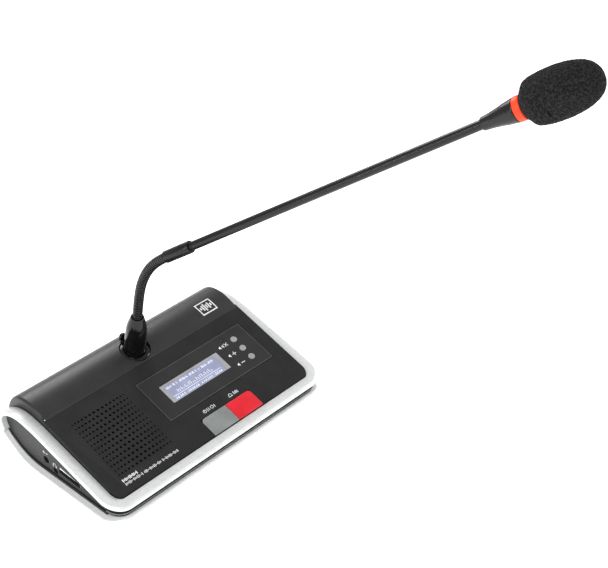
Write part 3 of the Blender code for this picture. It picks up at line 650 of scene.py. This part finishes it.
def build_bottom():
    """The lower shell, with its bosses, mat recess and side openings."""
    rear = [
        (82.9, 18.6), (79.6, 15.2), (76.1, 12.4), (71.0, 9.2), (65.2, 6.3), (57.0, 3.5), (48.2, 1.84),
        (42.0, BASE_BOTTOM_Z),
    ]
    outline = [(BODY_FRONT_Y, BASE_BOTTOM_Z), (BODY_FRONT_Y, 12.05), *smooth_curve(rear)]
    obj = prism("bottom_shell", outline, "X", -BODY_HALF_WIDTH, BODY_HALF_WIDTH)
    cavity = inset(outline, [WALL] * len(outline))
    cavity[1] = (cavity[1][0], 30.0)
    cavity[2] = (cavity[2][0], 30.0)
    hollow(obj, cavity)
    combine(obj, [post("boss", x, y, 2.5, 12.0, 5.0) for x, y in SCREWS.values()], "UNION")
    trim_to_plan(obj)
    cuts = [prism("mat_recess", rounded_rectangle(-80.4, 80.4, -35.4, 35.4, 6.4), "Z", -2, 2.15)]
    for x, y in SCREWS.values():
        cuts += [post("counterbore", x, y, -2.0, 8.0, 3.2), post("clearance", x, y, 5.0, 14.0, 1.75)]
    combine(obj, cuts + side_openings(), "DIFFERENCE")
    wear(obj, "satin_black", "base", ["bottom_housing"], 28)


def ribbon(name, stations):
    """A band through the stations, with a rolled outer edge in a lighter silver: a painted highlight on a
    slightly glossier rim.
    """
    roll_steps = 16
    rings = []
    for inner, outer, drop in stations:
        inward = (inner - outer).normalized()
        ring = [inner + inward * -0.3, outer + inward * TRIM_EDGE_ROLL]
        for k in range(1, roll_steps):
            turn = math.pi * k / roll_steps
            share = 0.5 * (1 - math.cos(turn))
            ring.append(outer + inward * TRIM_EDGE_ROLL * (1 - math.sin(turn)) + drop * share)
        rings.append([*ring, outer + inward * TRIM_EDGE_ROLL + drop, inner + drop, inner + drop * 0.08])
    obj = sections(name, rings)
    obj.data.materials.append(M["silver"])
    obj.data.materials.append(M["rim_highlight"])
    count = len(rings[0])
    # The rolled edge's faces get the lighter silver: a painted highlight.
    for face in obj.data.polygons:
        places = {index % count for index in face.vertices}
        if len(face.vertices) == 4 and min(places) >= 2 and max(places) <= roll_steps + 1:
            face.material_index = 1
    return obj


def trim_stations(curve, faces, height, drop_front):
    """Stations (inner edge, outer edge, drop) from the right rear round the front to the left rear."""
    cx, cy = CORNER_CENTRE
    side = []
    for (y, z), (y_in, z_in) in zip(curve, faces):
        drop = Vector((0, y_in - y, z_in - z))
        side.append((Vector((TRIM_INNER_HALF_WIDTH, y, z)), Vector((TRIM_HALF_WIDTH, y, z)), drop))
    drop_side = side[-1][2]
    for k in range(25):
        turn = math.radians(90 - 90 * k / 24)
        ends = []
        for rx, ry in ((TRIM_INNER_HALF_WIDTH - cx, 8.8), (TRIM_HALF_WIDTH - cx, cy - FRONT_Y)):
            y = cy - ry * math.cos(turn)
            ends.append(Vector((cx + rx * math.sin(turn), y, height(y))))
        side.append((*ends, drop_side.lerp(drop_front, math.cos(turn))))
    flip = Vector((-1, 1, 1))
    return side + [tuple(p * flip for p in station) for station in reversed(side)]


def build_trims():
    """The two silver bands and the dark strips above the lower one."""
    top = smooth_curve(TRIM_TOP_CURVE)
    bottom = smooth_curve(TRIM_BOTTOM_CURVE)
    outline = [(FRONT_Y, BASE_BOTTOM_Z), (FRONT_Y, trim_top(FRONT_Y))] + top + bottom

    def lower_edge(amount):
        """The lower rear curve moved in by the amount."""
        edge = inset(outline, [amount] * len(outline))[2 + len(top) :]
        return [*edge[:-1], (edge[-1][0], BASE_BOTTOM_Z + amount)]

    faces = inset(outline, [TRIM_THICKNESS] * len(outline))
    slope = math.hypot(1, TRIM_SLOPE)
    top_faces = list(reversed(faces[2 : 2 + len(top)]))
    top_faces[-1] = (top[0][0] + TRIM_THICKNESS * TRIM_SLOPE / slope, top[0][1] - TRIM_THICKNESS / slope)
    stations = trim_stations(list(reversed(top)), top_faces, trim_top, Vector((0, 0, -UPPER_BAND_DROP)))
    wear(ribbon("upper_band", stations), "silver", "base", ["upper_trim"], 50)
    bottom_faces = lower_edge(LOWER_BAND_SIDE)
    bottom_faces[-1] = (bottom[-1][0], BASE_BOTTOM_Z + LOWER_BAND_SIDE)
    stations = trim_stations(bottom, bottom_faces, lambda y: BASE_BOTTOM_Z, Vector((0, 0, TRIM_THICKNESS)))
    # The lower band wears the lighter copy of the silver: painted light.
    wear(ribbon("lower_band", stations), "pale", "base", ["lower_trim"], 50)
    low, high = lower_edge(LOWER_BAND_SIDE + GAP), lower_edge(SKIRT_TOP)
    front = CORNER_CENTRE[1]
    edge = low + [(front, low[-1][1]), (front, high[-1][1])] + high[::-1]
    for side, name in ((-1, "left_skirt"), (1, "right_skirt")):
        ends = sorted((side * (SIDE_PANEL_X + 0.7), side * (SIDE_PANEL_X - 1.5)))
        wear(prism(name, edge, "X", *ends), "side", "base")


def build_fascia():
    """The black strip between the bands, with a fine light line along it: a painted reflection."""
    outer = plan_outline(SIDE_PANEL_X, *FASCIA_CORNERS[0], 0)[1:-1]
    inner = plan_outline(SIDE_PANEL_X - FASCIA_WALL, *FASCIA_CORNERS[1], 0)[1:-1]
    obj = prism("fascia_strip", outer + inner[::-1], "Z", BASE_BOTTOM_Z + TRIM_THICKNESS + GAP, 25)
    drop = UPPER_BAND_DROP + GAP
    above = [(-60, trim_top(-60) - drop), (-60, 60), (0, 60), (0, trim_top(0) - drop)]
    combine(obj, [prism("top_cut", above, "X", -120, 120)], "DIFFERENCE")
    wear(obj, "slot", "base", ["front_fascia"], 30)
    # A thin pale strip along the slot: a painted reflection in the glossy black.
    line, back = [plan_outline(SIDE_PANEL_X, *corner, -44)[1:-1] for corner in SLOT_REFLECTION_CORNERS]
    wear(prism("slot_painted_reflection", line + back[::-1], "Z", *SLOT_REFLECTION_Z), "button")


def build_grille():
    """The perforated plate: its holes and the gaps between them grow towards the middle column."""
    x0, x1, v0, v1 = GRILLE
    obj = box("speaker_perforation", (x0, v0, -1.15), (x1, v1, 0.0))
    bm = bmesh.new()
    for i, x in enumerate(HOLE_COLUMNS):
        radius = HOLE_RADIUS + HOLE_GROWTH * math.sin(math.pi * i / (len(HOLE_COLUMNS) - 1))
        for j in range(HOLE_ROWS):
            place = Matrix.Translation(Vector((x, HOLE_FIRST_V + j * HOLE_ROW_PITCH, -0.5)) * MM)
            bmesh.ops.create_cone(
                bm, cap_ends=True, segments=18, radius1=radius * MM, radius2=radius * MM, depth=4 * MM,
                matrix=place,
            )
    combine(obj, [object_from("holes", bm)], "DIFFERENCE")
    on_panel(obj)
    wear(obj, "grille", "base", ["speaker_grille"], 30)
    wear(panel_box("dust_cloth", *shrunk(GRILLE, 2.4), -1.75, -1.6), "cloth")


def plate_frame(name, outer, inner, h0, h1):
    """A flat frame between two outlines of equal length."""
    rings = [
        [(x, v, h0) for x, v in outer],
        [(x, v, h1) for x, v in outer],
        [(x, v, h1) for x, v in inner],
        [(x, v, h0) for x, v in inner],
    ]
    return on_panel(sections(name, rings, closed=True))


def build_overlay_print():
    """The thin line round the overlay's edge."""
    outer = rounded_rectangle(*shrunk(OVERLAY, 0.1), 0.55)
    inner = rounded_rectangle(*shrunk(OVERLAY, 0.6), 0.2)
    wear(plate_frame("overlay_outline", outer, inner, 0.125, 0.15), "line")


def lcd_material():
    """A backlit screen: a soft glow under a fine grid of dots."""
    g = Graph("lcd_screen")
    glow = g.ramp(g.noise(60.0, 2.0), (0.24, 0.26, 0.39), (0.32, 0.34, 0.47))
    g.set("Base Color", glow)
    g.set("Roughness", g.spread(g.noise(900.0), 0.1, 0.16))
    g.set("Emission Color", glow)
    g.set("Emission Strength", 0.15)
    g.set("Coat Weight", 0.1)
    g.set("Normal", g.bump(g.cells(2400.0), 0.000003))
    return g.material


def icon(name, boxes, h0, h1):
    """One object of separate flat boxes on the panel."""
    return merged(name, [panel_box(f"{name}_{k}", *b, h0, h1) for k, b in enumerate(boxes)])


def build_display():
    """A pale border round a lit screen with rows of plain marks."""
    M["lcd"] = lcd_material()
    x0, x1, v0, v1 = WINDOW
    outer = rounded_rectangle(x0, x1, v0, v1, 0.3, 2)
    inner = rounded_rectangle(x0 + 3.0, x1 - 4.4, v0 + 0.4, v1 - 2.1, 0.2, 2)
    border = plate_frame("display_border", outer, inner, -0.5, 0.05)
    wear(border, "bezel", "base", ["display_window"])
    left, right, low, high = x0 + 3.05, x1 - 4.45, v0 + 0.45, v1 - 2.15
    wear(panel_box("display_screen", left, right, low, high, -0.5, -0.1), "lcd", "base")
    dots = []
    for k, parts in enumerate((3, 2, 2, 1, 3, 3, 2, 3, 2, 1, 1, 3, 2, 3, 2)):
        x, foot = left + 0.9 + k * 3.35, high - 3.0
        for part in range(parts):
            start, tall = x + part * 0.95, (2.1, 1.3, 2.1)[(k + part) % 3]
            dots.append((start, start + 0.55, foot, foot + tall))
        if k % 3 != 1:
            dots.append((x, x + parts * 0.95, foot, high - 2.55))
    heights = (3.1, 2.2, 3.4, 1.2, 2.9, 1.0, 3.2, 3.4, 1.4, 1.0, 3.3, 2.4, 3.0, 3.4, 2.0, 3.1, 2.6, 3.4, 1.6)
    for k, tall in enumerate(heights):
        x, foot = left + 7.0 + k * 1.95, low + 5.6
        dots.append((x, x + 0.5, foot, foot + tall))
        if k % 2:
            dots.append((x - 0.9, x + 0.5, foot + tall - 0.4, foot + tall))
    dots.append((left + 0.6, right - 3.0, low + 4.1, low + 4.5))
    for k in range(24):
        x = left + 0.9 + k * 2.05
        if k % 7 != 5:
            dots.append((x, x + 0.6 + 0.5 * (k % 3), low + 1.0, low + 1.5 + 0.6 * (k % 2)))
            dots.append((x + 0.9, x + 1.4, low + 1.0, low + 3.0))
    wear(icon("display_dots", dots, -0.095, -0.06), "pixel")


def arc_boxes(cx, cv, start, end):
    """Short boxes along a round arc, from one angle to another."""
    radius, half, count = 1.3, 0.25, 26
    made = []
    for k in range(count):
        turn = math.radians(start + (end - start) * k / (count - 1))
        x, v = cx + radius * math.cos(turn), cv + radius * math.sin(turn)
        made.append((x - half, x + half, v - half, v + half))
    return made


def speaker_boxes(x, v):
    """A small loudspeaker in three steps of height."""
    steps = ((0, 0.9, 0.6), (0.9, 1.4, 1.05), (1.4, 1.9, 1.5))
    return [(x + a, x + b, v - half, v + half) for a, b, half in steps]


def build_prints():
    """Plain symbols beside the buttons, the keys and the grille."""
    dots = speaker_boxes(55.4, 58.5) + [(58.6, 59.2, 57.73, 59.27), (59.7, 60.3, 57.07, 59.93)]
    for k in range(6):
        step = 0.5 * k
        dots.append((61.4 + step, 62.0 + step, 57.0 + step, 57.6 + step))
        dots.append((61.4 + step, 62.0 + step, 59.5 - step, 60.1 - step))
    dots += speaker_boxes(56.6, 47.9) + [(60.6, 64.4, 47.6, 48.2), (62.2, 62.8, 46.0, 49.8)]
    dots += speaker_boxes(56.6, 37.2) + [(60.6, 64.4, 36.9, 37.5)]
    wear(icon("overlay_symbols", dots, 0.125, 0.16), "print")
    dots = arc_boxes(4.1, 19.0, 125, 415) + [(3.85, 4.35, 19.0, 20.7)]
    dots += [(6.6, 7.1, 17.6, 20.5), (8.2, 8.7, 17.6, 20.5)] + arc_boxes(11.6, 19.1, 0, 346)
    dots += [(13.9, 14.4, 17.6, 20.5)]
    for k in range(4):
        left, right, down = 30.9 - 0.5 * k, 30.9 + 0.5 * k, 0.42 * k
        dots.append((left - 0.5, left, 20.1 - down, 20.6 - down))
        dots.append((right, right + 0.5, 20.1 - down, 20.6 - down))
    dots.append((28.8, 33.0, 17.6, 18.1))
    dots += [(34.4 + k * 1.25, 35.0 + k * 1.25, 17.6, 20.5 - 0.6 * (k % 2)) for k in range(4)]
    wear(icon("key_symbols", dots, 0.02, 0.055), "print")
    dots = []
    for k in range(12):
        shift, half = k * 1.17, (1.35, 0.8, 1.3, 1.1, 0.6, 1.35)[k % 6]
        dots.append((-87.0 + shift, -86.25 + shift, 8.0 - half, 8.0 + half))
    for k in range(46):
        shift, half = k * 1.11, (1.25, 0.5, 1.2, 0.9, 0.4, 1.25, 0.7)[k * 3 % 7]
        if k % 16 != 15:
            dots.append((-87.0 + shift, -86.5 + shift, 4.55 - half, 4.55 + half))
    wear(icon("wave_symbols", dots, 0.02, 0.05), "print")
    build_socket_symbols()
    # A small pale dot at the panel's corner, near the crease's end: a painted highlight.
    dot = [(0, 0.16), (0.35, 0.12), (0.48, 0.0), (0.48, -0.2), (0, -0.2)]
    wear(turned("panel_corner_painted_highlight", dot, panel_point(-98.5, 83.9), PANEL_NORMAL, 24), "print")


def build_socket_symbols():
    """A polarity sign and a headphone sign on the left side panel."""
    def bar(y0, y1, z0, z1):
        outline = [(y0, z0), (y1, z0), (y1, z1), (y0, z1)]
        return prism("bar", outline, "X", -SIDE_PANEL_X - 0.05, -SIDE_PANEL_X + 0.02)

    pieces = [bar(34.0, 36.6, 20.2, 20.8), bar(35.0, 35.6, 19.2, 21.8), bar(30.6, 32.9, 20.2, 20.8)]
    for k in range(14):
        turn = math.radians(180 * k / 13)
        y, z = 23.4 + 1.7 * math.cos(turn), 14.2 + 1.7 * math.sin(turn)
        pieces.append(bar(y - 0.3, y + 0.3, z - 0.3, z + 0.3))
    pieces += [bar(21.1, 22.2, 12.6, 14.3), bar(24.6, 25.7, 12.6, 14.3)]
    wear(merged("socket_symbols", pieces), "print")


def build_keys():
    """Two flat keys, each with one rounded corner on its outer side and a stem below."""
    for name, span, rounded_side, finish in (
        ("on_off_key", ON_OFF_KEY, -1, "grey"),
        ("priority_key", PRIORITY_KEY, 1, "red"),
    ):
        x0, x1, v1 = span
        corner, far = (x0, x1) if rounded_side < 0 else (x1, x0)
        arc = []
        for k in range(13):
            turn = math.radians(90 * k / 12)
            x = corner - rounded_side * KEY_CORNER * (1 - math.cos(turn))
            arc.append((x, v1 - KEY_CORNER * (1 - math.sin(turn))))
        obj = prism(f"{name}_cap", [(corner, -2.6), *arc, (far, v1), (far, -2.6)], "Z", -1.0, 0.75)
        soften(obj, 0.45)
        x, v = KEY_SWITCHES[name]
        combine(obj, [box("stem", (x - 3, v - 2, -4.8), (x + 3, v + 2, -0.6))], "UNION")
        on_panel(obj)
        wear(obj, finish, name, [name], 40)


def build_buttons():
    """Round buttons with a dished top, a collar under the panel and a stem."""
    profile = [
        (0, 0.66), (0.8, 0.68), (1.5, 0.74), (1.95, 0.86), (2.25, 0.92), (2.5, 0.86), (2.7, 0.64),
        (2.8, 0.35), (2.8, -2.8), (3.9, -2.8), (3.9, -3.7), (1.3, -3.7), (1.3, -4.8), (0, -4.8),
    ]
    for name, (x, v) in BUTTONS.items():
        obj = turned(f"{name}_cap", profile, panel_point(x, v), PANEL_NORMAL, 48)
        wear(obj, "button", name, [name], 40)


def build_side_connector():
    """A slot with a bright lip above and a thin bright edge below a black insert."""
    shell = prism("connector_shell", connector_outline(-GAP), "X", -104.1, -88)
    mouth = [(17.4, 10.85), (17.4, 13.0), (-5.3, 11.7), (-5.3, 9.5)]
    combine(shell, [prism("mouth", mouth, "X", -110, -92)], "DIFFERENCE")
    wear(shell, "lip", "base", ["side_connector"], 30)
    black = [(17.8, 10.6), (17.8, 13.3), (-5.6, 12.1), (-5.6, 9.2)]
    wear(prism("connector_insert", black, "X", -104.3, -92.4), "cloth")


def hump_height(y):
    """The height of the hump's skin at y, ahead of its crown."""
    path = smooth_curve(TOP_CURVE)[:30]
    for (y0, z0), (y1, z1) in zip(path, path[1:]):
        if y0 <= y <= y1:
            return z0 + (z1 - z0) * (y - y0) / (y1 - y0)
    return path[0][1]


def hump_patch(x0, x1, y0, y1):
    """A thin print that follows the hump's curve."""
    count = max(1, round((y1 - y0) / 0.8))
    rings = []
    for k in range(count + 1):
        y = y0 + (y1 - y0) * k / count
        z = hump_height(y)
        low, high = z - 0.02, z + 0.07
        rings.append([(x0, y, low), (x1, y, low), (x1, y - 0.02, high), (x0, y - 0.02, high)])
    return sections("patch", rings)


def build_badge():
    """A plain square outline with a sound-wave symbol, printed on the hump."""
    x0, x1, y0, y1 = 68.3, 84.0, 42.4, 54.6
    edge = 1.0
    pieces = [
        hump_patch(x0, x1, y0, y0 + edge), hump_patch(x0, x1, y1 - edge, y1),
        hump_patch(x0, x0 + edge, y0 + edge, y1 - edge), hump_patch(x1 - edge, x1, y0 + edge, y1 - edge),
    ]
    pitch, half_width, middle = 2.05, 0.6, 48.5
    for k, tall in enumerate((2.4, 5.4, 7.6, 3.8, 6.2, 2.8)):
        x = (x0 + x1) / 2 + (k - 2.5) * pitch
        pieces.append(hump_patch(x - half_width, x + half_width, middle - tall / 2, middle + tall / 2))
    wear(merged("badge_print", pieces), "print")


def build_flange_and_latch():
    """The collar round the socket and the sprung tab behind it."""
    ring = [(9.0, 2.6), (9.25, 3.0), (11.4, 2.75), (12.0, 2.4), (12.2, 1.9), (12.2, 1.0), (9.0, 1.0)]
    obj = turned("flange_ring", ring, SOCKET_ZERO, SOCKET_AXIS, 96)
    wear(obj, "gloss", "base", ["socket_flange"], 30)
    arch = [(3.0 * math.cos(math.pi * k / 24), 57.2 + 3.0 * math.sin(math.pi * k / 24)) for k in range(25)]
    obj = prism("latch_tab", [(3.0, 54.6), *arch, (-3.0, 54.6)], "Y", 61.2, 63.8)
    soften(obj, 0.5)
    stem = [
        box("stem", (-1.8, 62.0, 47.5), (1.8, 63.4, 55.5)),
        box("hook", (-3.2, 62.0, 46.0), (3.2, 63.4, 48.5)),
    ]
    combine(obj, stem, "UNION")
    wear(obj, "gloss", "release_latch", ["release_latch"], 40)


# Microphone


def build_sleeve():
    """The glossy cone that holds the neck in the base."""
    skin = [
        (5.25, 39.2), (6.3, 35.6), (7.3, 32.0), (8.0, 28.6), (8.4, 24.0), (8.65, 18.6), (8.7, 12.6),
        (8.6, 6.0), (8.4, 0.0), (8.2, -1.0), (7.9, -2.4),
    ]
    profile = [
        (4.5, 39.45), (4.6, 39.6), (4.9, 39.6), (5.1, 39.5), *smooth_curve(skin, 4), (7.0, -2.4), (7.0, 20.0),
        (6.3, 26.0), (4.5, 31.0),
    ]
    obj = turned("sleeve_skin", profile, SOCKET_ZERO, SOCKET_AXIS, 96)
    wear(obj, "sleeve", "microphone", ["cone_sleeve"], 32)


def neck_points():
    """The places of the neck's hinges."""
    across = (TUBE_AXIS - SOCKET_AXIS * TUBE_AXIS.dot(SOCKET_AXIS)).normalized()
    start = SOCKET_ZERO + SOCKET_AXIS * SLEEVE_LENGTH
    return [start + SOCKET_AXIS * a + across * b for a, b in NECK_JOINTS]


def flex_piece(name, start, knee, end, turned_by):
    """A wound tube from start to end, bent at the knee. turned_by is the winding's length before it."""
    steps, around = 400, 36
    curve = [start.lerp(knee, k / steps).lerp(knee.lerp(end, k / steps), k / steps) for k in range(steps + 1)]
    lengths = [0.0]
    for a, b in zip(curve, curve[1:]):
        lengths.append(lengths[-1] + (b - a).length)
    total = lengths[-1]
    rows = max(8, round(total / (RIDGE_PITCH / 8)))
    bm = bmesh.new()
    previous = None
    index = 0
    for row in range(rows + 1):
        at = total * row / rows
        windings = (at + turned_by) / RIDGE_PITCH
        while index < steps - 1 and lengths[index + 1] < at:
            index += 1
        share = (at - lengths[index]) / max(1e-9, lengths[index + 1] - lengths[index])
        point = curve[index].lerp(curve[index + 1], share)
        t = row / rows
        along = ((knee - start) * (1 - t) + (end - knee) * t).normalized()
        side = FLEX_NORMAL.cross(along).normalized()
        up = along.cross(side)
        ring = []
        for k in range(around):
            turn = 2 * math.pi * k / around
            ridge = abs(math.sin(math.pi * (windings - k / around))) ** RIDGE_SHAPE
            radius = NECK_RADIUS - RIDGE_DEPTH * (1 - ridge)
            outward = side * math.cos(turn) + up * math.sin(turn)
            ring.append(bm.verts.new((point + outward * radius) * MM))
        if previous:
            for k in range(around):
                j = (k + 1) % around
                face = bm.faces.new((previous[k], previous[j], ring[j], ring[k]))
                # Faces deep in a groove get the near-black material: painted shade in the grooves.
                groove = abs(math.sin(math.pi * (windings - (k + 0.5) / around)))
                face.material_index = 1 if groove < GROOVE_SHADE_EDGE else 0
        previous = ring
    return object_from(name, bm), total


def build_flex():
    """Eight pieces of wound neck, each from the middle of one link to the middle of the next."""
    joints = neck_points()
    first = SOCKET_ZERO + SOCKET_AXIS * 32.0
    ends = [first] + [(a + b) / 2 for a, b in zip(joints, joints[1:])] + [joints[-1] + TUBE_AXIS * 3.5]
    turned_by = 0.0
    for k, knee in enumerate(joints):
        obj, length = flex_piece(f"wound_neck_{k + 1}", ends[k], knee, ends[k + 1], turned_by)
        turned_by += length
        obj.data.shade_smooth()
        obj.data.materials.append(M["neck"])
        # The second material is painted shade for the grooves.
        obj.data.materials.append(M["groove_shade"])
        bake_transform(obj)
        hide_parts(f"neck_link_{k + 1}")


def build_ferrule_and_tube():
    """The collar at the neck's upper end and the straight tube."""
    start = neck_points()[-1]
    shift = (TUBE_ZERO - start).dot(TUBE_AXIS)
    profile = [
        (0, shift - 7.0), (2.7, shift - 7.0), (2.7, shift + 4.1), (3.0, shift + 4.1), (3.15, shift + 3.95),
        (3.15, shift + 1.9), (4.45, shift + 1.9), (4.65, shift + 1.75), (4.75, shift + 1.45), (4.75, 1.95),
        (4.68, 1.65), (4.5, 1.5), (4.05, 1.5), (4.05, 3.9), (0, 3.9),
    ]
    obj = turned("ferrule_skin", profile, start, TUBE_AXIS, 72)
    wear(obj, "tube", "head", ["neck_ferrule"], 32)
    tube = [
        (2.4, TUBE_END), (3.2, TUBE_END), (TUBE_RADIUS, TUBE_END - 0.15), (TUBE_RADIUS, TUBE_START + 0.2),
        (3.2, TUBE_START), (2.35, TUBE_START), (2.35, -6.6), (1.7, -6.6), (1.7, TUBE_START + 1.5),
        (2.4, TUBE_START + 2.5),
    ]
    obj = turned("tube_skin", tube, TUBE_ZERO, TUBE_AXIS, 64)
    wear(obj, "tube", "head", ["neck_tube"], 32)


def build_head():
    """The cone at the tube's end and the light ring."""
    skin = [
        (8.11, 272.2), (7.47, 268.0), (7.0, 265.0), (6.46, 262.6), (5.8, 259.0), (5.21, 255.3), (4.88, 252.4),
        (4.7, 250.5),
    ]
    profile = [
        (6.6, 273.0), (8.0, 273.0), (8.1, 272.8), *smooth_curve(skin, 5), (4.62, 249.4), (4.5, 248.95),
        (4.3, HEAD_START), (3.75, HEAD_START), (3.75, 256.5), (5.0, 261.5),
    ]
    obj = turned("head_cone_skin", profile, TUBE_ZERO, TUBE_AXIS, 96)
    wear(obj, "cone", "head", ["head_cone"], 32)
    ring = [
        (6.95, RING_END - 0.1), (7.1, RING_END), (7.9, RING_END), (8.15, RING_END - 0.15),
        (8.27, RING_END - 0.45), (8.3, RING_END - 0.8), (8.3, RING_START + 0.5), (8.22, RING_START + 0.15),
        (8.05, RING_START), (6.95, RING_START),
    ]
    obj = turned("light_ring_skin", ring, TUBE_ZERO, TUBE_AXIS, 96)
    wear(obj, "ring", "head", ["light_ring"], 32)


def slit_share(turn, height):
    """How deep the small cut in the foam is at this place, from 0 to 1."""
    for (a, h0), (b, h1) in zip(SLIT, SLIT[1:]):
        if a <= turn <= b:
            away = abs(height - (h0 + (h1 - h0) * (turn - a) / (b - a)))
            ends = min(1.0, (turn - SLIT[0][0]) / SLIT_RUN_OUT, (SLIT[-1][0] - turn) / SLIT_RUN_OUT)
            return max(0.0, 1.0 - away / SLIT_HALF_WIDTH) * ends
    return 0.0


def build_foam():
    """The windscreen sits a little askew on the head, so its outside is moved while its bore stays true."""
    start = RING_END + 0.4
    skin = [
        (8.7, start), (9.5, 279.0), (11.9, 280.9), (14.4, 283.3), (15.5, 286.2), (16.1, 289.5), (16.6, 294.3),
        (16.85, 300.1), (16.6, 306.8), (15.85, 312.5), (14.8, 317.3), (13.0, 322.1), (10.5, 326.0),
        (7.1, 328.8), (3.7, 330.2), (0.0, FOAM_END),
    ]
    bore = smooth_curve([(0.0, 315.9), (3.8, 315.3), (6.2, 313.5), (6.95, 310.5)], 4)
    bore += [(6.95, 295.0), (6.95, start)]
    obj = turned("foam_windscreen", bore + smooth_curve(skin, 12), (0, 0, 0), (0, 0, 1), 220)
    turn = Vector((0, 0, 1)).rotation_difference(TUBE_AXIS).to_matrix()
    across = TUBE_AXIS.cross(Vector((0, 0, 1))).normalized()
    above = across.cross(TUBE_AXIS)
    across, above = turn.transposed() @ across, turn.transposed() @ above
    for vertex in obj.data.vertices:
        place = vertex.co.copy()
        radius = math.hypot(place.x, place.y) / MM
        height = place.z / MM
        if radius < FOAM_BORE_RADIUS and height < FOAM_BORE_END:
            continue
        share = min(1.0, max(0.0, (radius - FOAM_BORE_RADIUS) / 2.5)) if height < FOAM_BORE_END else 1.0
        cell = sum(noise.noise(place * pitch) * depth for pitch, depth in FOAM_CELLS)
        away = Vector((place.x, place.y, (place.z - 304 * MM) * 0.5)).normalized()
        drift = across * -1.05 + above * (-0.12 - 0.94 * (height - 280.0) / 60.0)
        cell -= SLIT_DEPTH * slit_share(math.degrees(math.atan2(place.y, place.x)), height)
        vertex.co = place + (away * (cell - 0.1) + drift * share) * MM
    obj.data.transform(Matrix.Translation(TUBE_ZERO * MM) @ turn.to_4x4())
    wear(obj, "foam", "windscreen", ["windscreen"], 180)


# Studio


def build_studio():
    """A white floor, a white world and four soft lights."""
    bm = bmesh.new()
    bmesh.ops.create_grid(bm, x_segments=1, y_segments=1, size=40.0)
    floor = object_from("studio_floor", bm)
    g = Graph("studio_white")
    g.set("Base Color", g.ramp(g.noise(3.0), grey(0.90), grey(0.92)))
    g.set("Roughness", g.spread(g.noise(8.0), 0.85, 0.95))
    g.set("Emission Color", (1, 1, 1, 1))
    g.set("Emission Strength", 0.7)
    floor.data.materials.append(g.material)
    world = bpy.data.worlds.new("studio")
    world.use_nodes = True
    background = world.node_tree.nodes["Background"].inputs
    background["Color"].default_value = (1, 1, 1, 1)
    background["Strength"].default_value = 0.5
    bpy.context.scene.world = world
    for name, spot, size, power in (
        ("key_light", (-0.9, -0.6, 1.5), 0.9, 14.0),
        ("rear_light", (0.5, 1.3, 1.1), 0.8, 14.0),
        ("side_light", (1.4, -0.5, 0.9), 0.5, 8.0),
        ("strip_light", (-1.3, 0.25, 0.75), 0.12, 5.0),
    ):
        data = bpy.data.lights.new(name, "AREA")
        data.size = size
        if name == "strip_light":
            data.shape = "RECTANGLE"
            data.size_y = 1.2
        data.energy = power
        lamp = link(bpy.data.objects.new(name, data))
        lamp.location = spot
        lamp.rotation_euler = (Vector((0, 0, 0.1)) - Vector(spot)).to_track_quat("-Z", "Y").to_euler()


def build_camera():
    data = bpy.data.cameras.new("camera")
    data.sensor_width = SENSOR_WIDTH
    data.lens = SENSOR_WIDTH * FOCAL_RATIO
    data.clip_start = 0.01
    data.clip_end = 20.0
    camera = link(bpy.data.objects.new("camera", data))
    right = Vector((0.68872303, -0.72431663, -0.03203125))
    up = Vector((0.41866732, 0.36124736, 0.83319747))
    back = Vector((-0.59192758, -0.58725273, 0.55204708))
    turn = Matrix((right, up, back)).transposed().to_4x4()
    camera.matrix_world = Matrix.Translation(Vector((-500.50404, -638.33974, 662.27674)) * MM) @ turn
    bpy.context.scene.camera = camera


dress_cad_nodes()
build_top()
build_bottom()
build_trims()
build_fascia()
build_grille()
build_overlay_print()
build_display()
build_prints()
build_keys()
build_buttons()
build_side_connector()
build_badge()
build_flange_and_latch()
build_sleeve()
build_flex()
build_ferrule_and_tube()
build_head()
build_foam()
build_studio()
build_camera()
bpy.context.scene.view_settings.view_transform = "Standard"
